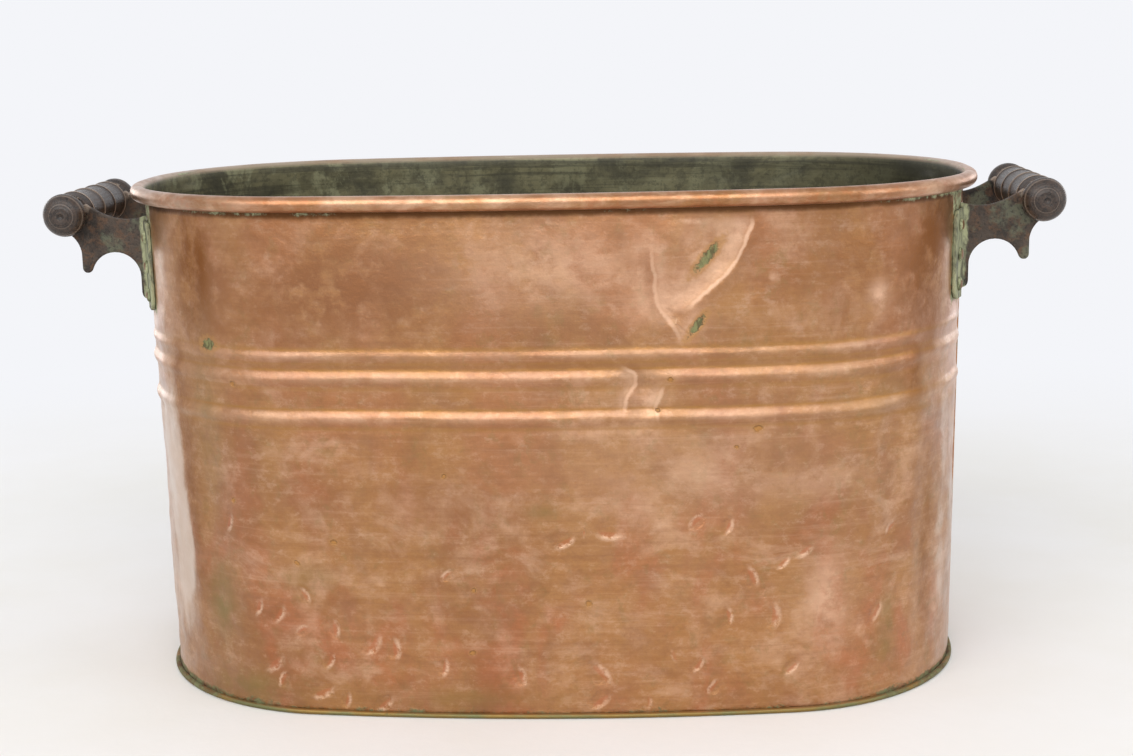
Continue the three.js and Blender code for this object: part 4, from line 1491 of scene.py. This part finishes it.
class BOILER_OT_bottom(bpy.types.Operator):
    """Form the bottom, its rest ring and the edge folded over the walls' foot"""
    bl_idname = "boiler.bottom"
    bl_label = "Folded Bottom"

    def execute(self, context):
        rows = pan_rows()
        half = split_run([-half_run, half_run], 0.004)[:-1]
        stations = [(rim_station(run), 1) for run in half] + [(rim_station(run), -1) for run in half]
        stations.append(stations[0])
        lip_wave = sizes().lip_wave

        def point_at(column, row):
            (point, normal), facing = stations[column]
            inset, height = rows[row]
            plan = (point - normal * inset) * facing
            wander = chance(plan.x * 22, plan.y * 22, 0)
            if row >= len(rows) - 9:
                lift = fade(0.0004, 0.0026, height)
                inset -= lip_wave * (0.5 + wander)
                height += lip_wave * (0.4 + 0.8 * wander) * lift
            elif height > 0.003 and inset < 0.125:
                height += 0.0012 * chance(plan.x * 16, plan.y * 16, 2) * fade(0.028, 0.05, inset)
            plan = (point - normal * inset) * facing
            return Vector((plan.x, plan.y, height))

        pan, _ = formed_grid("bottom_sheet", len(stations), len(rows), point_at)
        edit(pan)
        bpy.ops.mesh.remove_doubles(threshold=MERGE)
        leave_edit()
        innermost = rows[0][0]
        select_vertices(pan, lambda co: co.z > 0.003 and inside_ring(co, innermost))
        bpy.ops.mesh.edge_face_add()
        face_outwards(pan)
        if min(pan.data.polygons, key=lambda face: face.center.z).normal.z > 0:
            flip(pan)
        finish(pan, "Bottom copper", "Copper lining")
        apply_modifier(pan, "SOLIDIFY", thickness=SHEET, offset=0, material_offset=1)
        paint(pan, "verdigris", lambda co: 0.22 + 0.35 * fade(0.16, 0.24, abs(co.x)))
        paint(pan, "roll", lambda co: 0)
        smooth(pan, 50)
        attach(pan, "tub")
        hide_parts("bottom_pan")
        return {"FINISHED"}


def inside_ring(co, inset):
    """Whether a place lies within the rim's outline drawn in by an inset"""
    x = abs(co.x)
    y = abs(co.y)
    if math.atan2(x, y + side_centre) <= side_turn:
        return math.hypot(x, y + side_centre) <= SIDE_RADIUS - inset + RING_SLACK
    return math.hypot(x - end_centre_x, max(y - HALF_FLAT, 0)) <= end_radius - inset + RING_SLACK


# Ears
def ear_outline():
    """An ear's outline, outwards and up from the grip's axis"""
    steps = 16
    eye_radius = 0.0081
    outer_radius = 0.0127
    leg = 0.006
    corner = 0.004
    tip_radius = 0.0033
    wall = end_centre_x + math.sqrt(radius_at_ear**2 - (EAR_Y - HALF_FLAT) ** 2) - GRIP_X
    inside_wall = wall - leg
    leg_edge = wall + leg
    leg_foot = FLANGE_FOOT + 0.006 - GRIP_Z
    tip_x = -0.0096
    tip_y = -0.0361
    arch_drop = 0.0063
    span = tip_x - leg_edge
    arch_radius = (span**2 + arch_drop**2 - tip_radius**2) / (2 * (span + tip_radius))
    arch_x = leg_edge + arch_radius
    arch_y = tip_y - arch_drop
    arch_end = math.atan2(tip_y - arch_y, tip_x - arch_x)
    outer_edge = tip_x + tip_radius
    blend_drop = 0.0275
    blend_radius = (outer_edge**2 + blend_drop**2 - outer_radius**2) / (2 * (outer_radius - outer_edge))
    blend_x = outer_edge + blend_radius
    blend_end = math.atan2(-blend_drop, blend_x)
    gap_start = math.radians(125)
    gap_end = math.radians(150)
    top = EAR_TOP - GRIP_Z
    outline = [(inside_wall, leg_foot)]
    outline += arc(leg_edge - corner, leg_foot + corner, corner, -math.pi / 2, 0, 5)
    outline += arc(arch_x, arch_y, arch_radius, math.pi, arch_end, steps)
    outline += arc(tip_x, tip_y, tip_radius, arch_end - math.pi, 0, steps)
    outline += arc(blend_x, -blend_drop, blend_radius, math.pi, blend_end + math.pi, steps)
    outline += arc(0, 0, outer_radius, blend_end, gap_start, 2 * steps)
    outline += arc(0, 0, eye_radius, gap_start, gap_end - 2 * math.pi, 3 * steps)
    start = (outer_radius * math.cos(gap_end), outer_radius * math.sin(gap_end))
    control = ((wall - outer_radius) / 2, top - 0.0075)
    for i in range(steps + 1):
        share = i / steps
        outline.append(tuple(
            start[k] * (1 - share) ** 2 + 2 * control[k] * share * (1 - share) + (wall, top)[k] * share**2
            for k in (0, 1)
        ))
    outline.append((inside_wall, top))
    return without_doubles(outline)


def without_doubles(outline):
    kept = []
    for point in outline:
        if not kept or math.dist(point, kept[-1]) > 0.00002:
            kept.append(point)
    return kept


def flange_layout():
    """Along the facet from its middle: the ear's plane, the flange's free edge and the rivets"""
    distance = radius_at_ear * math.cos(facet_turn / 2)
    facet_y = HALF_FLAT + distance * math.sin(facet_middle)
    plate = (facet_y - EAR_Y) / math.cos(facet_middle)
    edge = -facet_chord / 2 + FACET_MARGIN
    return plate, edge, (plate - EAR_THICKNESS / 2 + edge) / 2


def flange_outline():
    plate, edge, _ = flange_layout()
    high = (FLANGE_TOP - FLANGE_FOOT) / 2
    top_radius = 0.005
    foot_radius = 0.01
    outline = [(plate, -high), (plate, high)]
    outline += arc(edge + top_radius, high - top_radius, top_radius, math.pi / 2, math.pi, 8)
    outline += arc(edge + foot_radius, foot_radius - high, foot_radius, math.pi, 1.5 * math.pi, 12)
    return outline


class BOILER_OT_ears(bpy.types.Operator):
    """Shape one iron ear with its flange and set a copy at each corner"""
    bl_idname = "boiler.ears"
    bl_label = "Iron Ears"

    def execute(self, context):
        plate = outline_plate("ear_plate", ear_outline(), EAR_THICKNESS)
        upright = Matrix.Translation((GRIP_X, -EAR_Y + EAR_THICKNESS / 2, GRIP_Z))
        place(plate, upright @ Matrix.Rotation(math.pi / 2, 4, "X"))
        facet = on_facet()
        normal = facet.to_3x3() @ Vector((0, 0, 1))
        edit(plate)
        bpy.ops.mesh.bisect(
            plane_co=facet.translation + normal * CLEARANCE, plane_no=normal,
            use_fill=True, clear_inner=True,
        )
        leave_edit()
        flange = outline_plate("ear_flange", flange_outline(), FLANGE_THICKNESS)
        place(flange, facet @ Matrix.Translation((0, 0, CLEARANCE)))
        ear = join([plate, flange], "right_front_bracket")
        apply_modifier(ear, "REMESH", mode="VOXEL", voxel_size=sizes().ear_grain)
        apply_modifier(ear, "SMOOTH", factor=0.5, iterations=4)
        paint_ear(ear, facet, normal)
        finish(ear, "Old iron")
        smooth(ear, 60)
        for side, depth, corner in CORNERS:
            piece = ear if corner == FIRST_CORNER else mirrored_copy(ear, corner + "_bracket", side, depth)
            if depth < 0:
                shorten_tip(piece)
            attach(piece, "tub")
            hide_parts(corner + "_ear")
        return {"FINISHED"}


def shorten_tip(ear):
    """The rear ears' tips are shorter, so that they hide behind the front ears"""
    select_vertices(ear, lambda co: co.z < TIP_TOP and abs(co.x) > TIP_X)
    bpy.ops.transform.resize(value=(1, 1, REAR_TIP_SCALE), center_override=(0, 0, TIP_TOP))
    leave_edit()


def from_axis(co):
    """Distance from the right-hand grip's axis"""
    return math.hypot(co.x - GRIP_X, co.z - GRIP_Z)


def paint_ear(ear, facet, normal):
    """Verdigris spreads from the wall, and wear lies on the plate's outer edges"""
    across = facet.to_3x3() @ Vector((1, 0, 0))

    def green(co):
        offset = co - facet.translation
        distance = offset.dot(normal)
        on_flange = 0.45 + 0.4 * fade(-0.007, -0.0105, offset.dot(across))
        return on_flange * fade(0.008, 0.003, distance) + 0.14 * fade(0.03, 0.006, distance)

    paint(ear, "verdigris", green)

    def exposure(vertex):
        slope = abs(vertex.normal.y)
        rounded_edge = fade(0.95, 0.75, slope) * fade(0.3, 0.75, slope)
        at_eye = fade(0.019, 0.0125, from_axis(vertex.co))
        at_gap = fade(0.008, 0.003, from_axis(vertex.co + Vector((0.0095, 0, -0.006))))
        return 0.3 * rounded_edge + 0.25 * at_eye + 0.5 * at_gap

    store(ear, "exposure", "FLOAT", [exposure(vertex) for vertex in ear.data.vertices])


# Rivets
def dome(radius, seat, height, steps):
    turns = (math.pi / 2 * i / steps for i in range(steps + 1))
    return [(radius * math.cos(turn), seat + height * math.sin(turn)) for turn in turns]


class BOILER_OT_rivets(bpy.types.Operator):
    """Turn one rivet and set a copy in each hole of the four flanges"""
    bl_idname = "boiler.rivets"
    bl_label = "Rivets"

    def execute(self, context):
        shank = 0.0024
        radius = 0.0045
        tail = -SHEET - CLEARANCE
        head = tail + SHEET + FLANGE_THICKNESS + 3 * CLEARANCE
        profile = dome(radius, tail, -0.0014, 8)[::-1]
        profile += [(radius * 0.97, tail + 0.0001), (shank, tail + 0.0001), (shank, head - 0.0001)]
        profile += [(radius * 0.97, head - 0.0001)] + dome(radius, head, 0.0022, 10)
        profile[0] = (0, profile[0][1])
        profile[-1] = (0, profile[-1][1])
        master = turned("rivet_master", profile, 28)
        paint(master, "verdigris", lambda co: 0.4 + 0.4 * fade(0.0022, 0.0044, math.hypot(co.x, co.y)))
        finish(master, "Rivet copper")
        smooth(master, 40)
        _, _, rivet_x = flange_layout()
        for row, offset in (("upper", 0.019), ("middle", 0), ("lower", -0.019)):
            first = copy_piece(master, "right_front_stud_" + row)
            place(first, on_facet() @ Matrix.Translation((rivet_x, offset, 0)))
            for side, depth, corner in CORNERS:
                name = f"{corner}_stud_{row}"
                piece = first if corner == FIRST_CORNER else mirrored_copy(first, name, side, depth)
                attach(piece, "tub")
                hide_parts(f"{corner}_rivet_{row}")
        bpy.data.objects.remove(master)
        return {"FINISHED"}


# Grips
def grip_profile():
    """Half of a grip's profile, from its middle to the pit in the knob's end, as radius and distance"""
    knob_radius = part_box("right_grip")[1].x - GRIP_X
    barrel = 0.013
    neck = 0.0075
    neck_start = 0.0435
    neck_end = 0.0485
    knob_length = 0.018
    ring_height = 0.0008
    ring_width = 0.003
    points = [(barrel, 0)]
    for middle in (0.012, 0.036):
        for i in range(13):
            share = i / 6 - 1
            points.append((
                barrel + ring_height * (1 + math.cos(share * math.pi)) / 2,
                middle + share * ring_width / 2,
            ))
    taper = arc(0.0114 - 0.002, neck_start - 0.0022, 0.002, math.pi / 4, 0, 4)
    points += [(barrel, neck_start - 0.0052)] + taper
    points += [
        (0.0107, neck_start - 0.0012), (neck + 0.0012, neck_start - 0.0002), (neck, neck_start + 0.0006),
        (neck, (neck_start + neck_end) / 2), (neck, neck_end - 0.0002),
    ]
    middle = neck_end + knob_length / 2
    for i in range(25):
        turn = math.radians(-60 + (60 + 84) * i / 24)
        points.append((knob_radius * math.cos(turn) ** 0.9, middle + knob_length / 2 * math.sin(turn)))
    end = points[-1][1]
    points += [(0.0052, end + 0.00008), (0.0034, end), (0.0026, end - 0.0004), (0.0014, end - 0.0013)]
    points.append((0, end - 0.0016))
    return points


class BOILER_OT_grips(bpy.types.Operator):
    """Turn a wooden grip and set it between the ears at each end"""
    bl_idname = "boiler.grips"
    bl_label = "Wooden Grips"

    def execute(self, context):
        half = grip_profile()
        profile = [(radius, -distance) for radius, distance in half[:0:-1]] + half
        grip = turned("right_wood", profile, 72)
        place(grip, Matrix.Translation((GRIP_X, 0, GRIP_Z)) @ Matrix.Rotation(-math.pi / 2, 4, "X"))

        def exposure(co):
            # The raised rings' crests are painted pale, partly as wear and partly as a painted highlight;
            # the knobs' rims are worn
            crest = fade(0.0132, 0.0138, from_axis(co)) if abs(co.y) < 0.042 else 0
            knob = 0.35 * fade(0.011, 0.0139, from_axis(co)) if abs(co.y) > 0.05 else 0
            return max(crest, knob)

        paint(grip, "exposure", exposure)
        paint(grip, "lathe", lambda co: from_axis(co) if abs(co.y) > 0.06 else abs(co.y))
        finish(grip, "Turned wood")
        smooth(grip, 50)
        left = mirrored_copy(grip, "left_wood", -1, 1)
        for piece, side in ((grip, "right"), (left, "left")):
            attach(piece, side + "_handle")
            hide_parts(side + "_grip")
        return {"FINISHED"}


class BOILER_OT_wire(bpy.types.Operator):
    """Give the wire inside the rolled rim its finish"""
    bl_idname = "boiler.wire"
    bl_label = "Rim Wire"

    def execute(self, context):
        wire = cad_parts["rim_wire"]
        for slot in wire.material_slots:
            slot.material = material("Drawn wire")
        return {"FINISHED"}


# Studio
def add_camera():
    bpy.ops.object.camera_add(location=CAMERA_PLACE)
    camera = take("Viewpoint")
    level = Vector((math.cos(CAMERA_YAW), -math.sin(CAMERA_YAW), 0))
    forward = Vector((
        math.sin(CAMERA_YAW) * math.cos(CAMERA_PITCH),
        math.cos(CAMERA_YAW) * math.cos(CAMERA_PITCH),
        -math.sin(CAMERA_PITCH),
    ))
    upright = level.cross(forward)
    right = level * math.cos(CAMERA_ROLL) + upright * math.sin(CAMERA_ROLL)
    up = upright * math.cos(CAMERA_ROLL) - level * math.sin(CAMERA_ROLL)
    matrix = Matrix((right, up, -forward)).transposed().to_4x4()
    matrix.translation = CAMERA_PLACE
    camera.matrix_world = matrix
    camera.data.sensor_width = SENSOR_WIDTH
    camera.data.lens = FOCAL_PIXELS * SENSOR_WIDTH / FRAME_WIDTH
    bpy.context.scene.camera = camera


def add_lamp(name, location, target, size, power):
    bpy.ops.object.light_add(type="AREA", location=location)
    lamp = take(name)
    lamp.data.shape = "RECTANGLE"
    lamp.data.size = size[0]
    lamp.data.size_y = size[1]
    lamp.data.energy = power
    direction = Vector(target) - Vector(location)
    lamp.rotation_euler = direction.to_track_quat("-Z", "Y").to_euler()
    lamp.visible_camera = False


def seen_plainly(net):
    """1 where the camera or a clear reflection looks, 0 for the light that falls on things"""
    rays = net.add("LightPath").outputs
    seen = net.highest(rays["Is Camera Ray"], rays["Is Glossy Ray"])
    return net.highest(seen, rays["Is Transmission Ray"])


def light_world():
    world = bpy.data.worlds.new("Studio")
    world.use_nodes = True
    bpy.context.scene.world = world
    net = Net(world.node_tree)
    background = world.node_tree.nodes["Background"].inputs
    net.feed(background["Color"], stage_settings().backdrop)
    net.feed(background["Strength"], net.blend(seen_plainly(net), stage_settings().daylight, 1.0))


def lay_floor():
    settings = stage_settings()
    bpy.ops.mesh.primitive_grid_add(x_subdivisions=24, y_subdivisions=24, size=16)
    floor = take("Floor")
    net = Finish("Pale floor")
    cloud = net.noise(3, 5, 0.6)
    colour = net.mix(net.rise(cloud, 0.3, 0.7, 0.0, 0.35), settings.floor, settings.backdrop)
    net.surface(colour, 0.8, net.relief((net.noise(120, 4), 0.0002)))
    distance = net.add("VectorMath", {0: net.stretched((0.7, 1, 1))}, operation="LENGTH").outputs["Value"]
    far = net.rise(distance, 0.35, 1.1)
    glow = net.add("Emission", {"Color": settings.backdrop, "Strength": 1.0})
    both = net.add("MixShader", {
        0: net.product(far, seen_plainly(net)), 1: net.shader.outputs[0], 2: glow.outputs[0],
    })
    net.feed(net.tree.nodes["Material Output"].inputs["Surface"], both.outputs[0])
    floor.data.materials.append(net.material)


class BOILER_OT_stage(bpy.types.Operator):
    """Lay the floor, light it softly and stand the camera at the photograph's viewpoint"""
    bl_idname = "boiler.stage"
    bl_label = "Plain Studio"

    def execute(self, context):
        deselect_all()
        settings = stage_settings()
        add_camera()
        light_world()
        lay_floor()
        add_lamp("Key", (-0.5, -2.2, 1.75), (0, 0, 0.15), (3.6, 2.0), settings.key)
        add_lamp("Fill", (1.8, -0.9, 0.9), (0, 0, 0.15), (1.0, 1.4), settings.fill)
        add_lamp("Left_edge", (-1.4, 1.3, 0.3), (-0.2, 0, 0.15), (0.7, 0.9), settings.edge)
        add_lamp("Right_edge", (1.5, 1.4, 0.3), (0.2, 0, 0.15), (0.7, 0.9), settings.edge)
        context.scene.view_settings.view_transform = "Standard"
        return {"FINISHED"}


OPERATORS = (
    BOILER_OT_walls,
    BOILER_OT_bottom,
    BOILER_OT_ears,
    BOILER_OT_rivets,
    BOILER_OT_grips,
    BOILER_OT_wire,
    BOILER_OT_stage,
)


class BOILER_PT_panel(bpy.types.Panel):
    """Lists the boiler's pieces and settings"""
    bl_idname = "BOILER_PT_panel"
    bl_label = "Copper Wash Boiler"
    bl_space_type = "VIEW_3D"
    bl_region_type = "UI"
    bl_category = "Boiler"

    def draw(self, context):
        for group in (sizes(), colours(), stage_settings()):
            box = self.layout.box()
            for key in group.bl_rna.properties.keys():
                if key not in {"rna_type", "name"}:
                    box.prop(group, key)
        for operator in OPERATORS:
            self.layout.operator(operator.bl_idname)


CLASSES = (BoilerSizes, BoilerColours, BoilerStage, *OPERATORS, BOILER_PT_panel)


def register():
    for cls in CLASSES:
        bpy.utils.register_class(cls)
    bpy.types.Scene.boiler_sizes = bpy.props.PointerProperty(type=BoilerSizes)
    bpy.types.Scene.boiler_colours = bpy.props.PointerProperty(type=BoilerColours)
    bpy.types.Scene.boiler_stage = bpy.props.PointerProperty(type=BoilerStage)


def unregister():
    del bpy.types.Scene.boiler_stage
    del bpy.types.Scene.boiler_colours
    del bpy.types.Scene.boiler_sizes
    for cls in reversed(CLASSES):
        bpy.utils.unregister_class(cls)


def main():
    register()
    bpy.ops.boiler.walls()
    bpy.ops.boiler.bottom()
    bpy.ops.boiler.ears()
    bpy.ops.boiler.rivets()
    bpy.ops.boiler.grips()
    bpy.ops.boiler.wire()
    bpy.ops.boiler.stage()


if __name__ == "__main__":
    main()
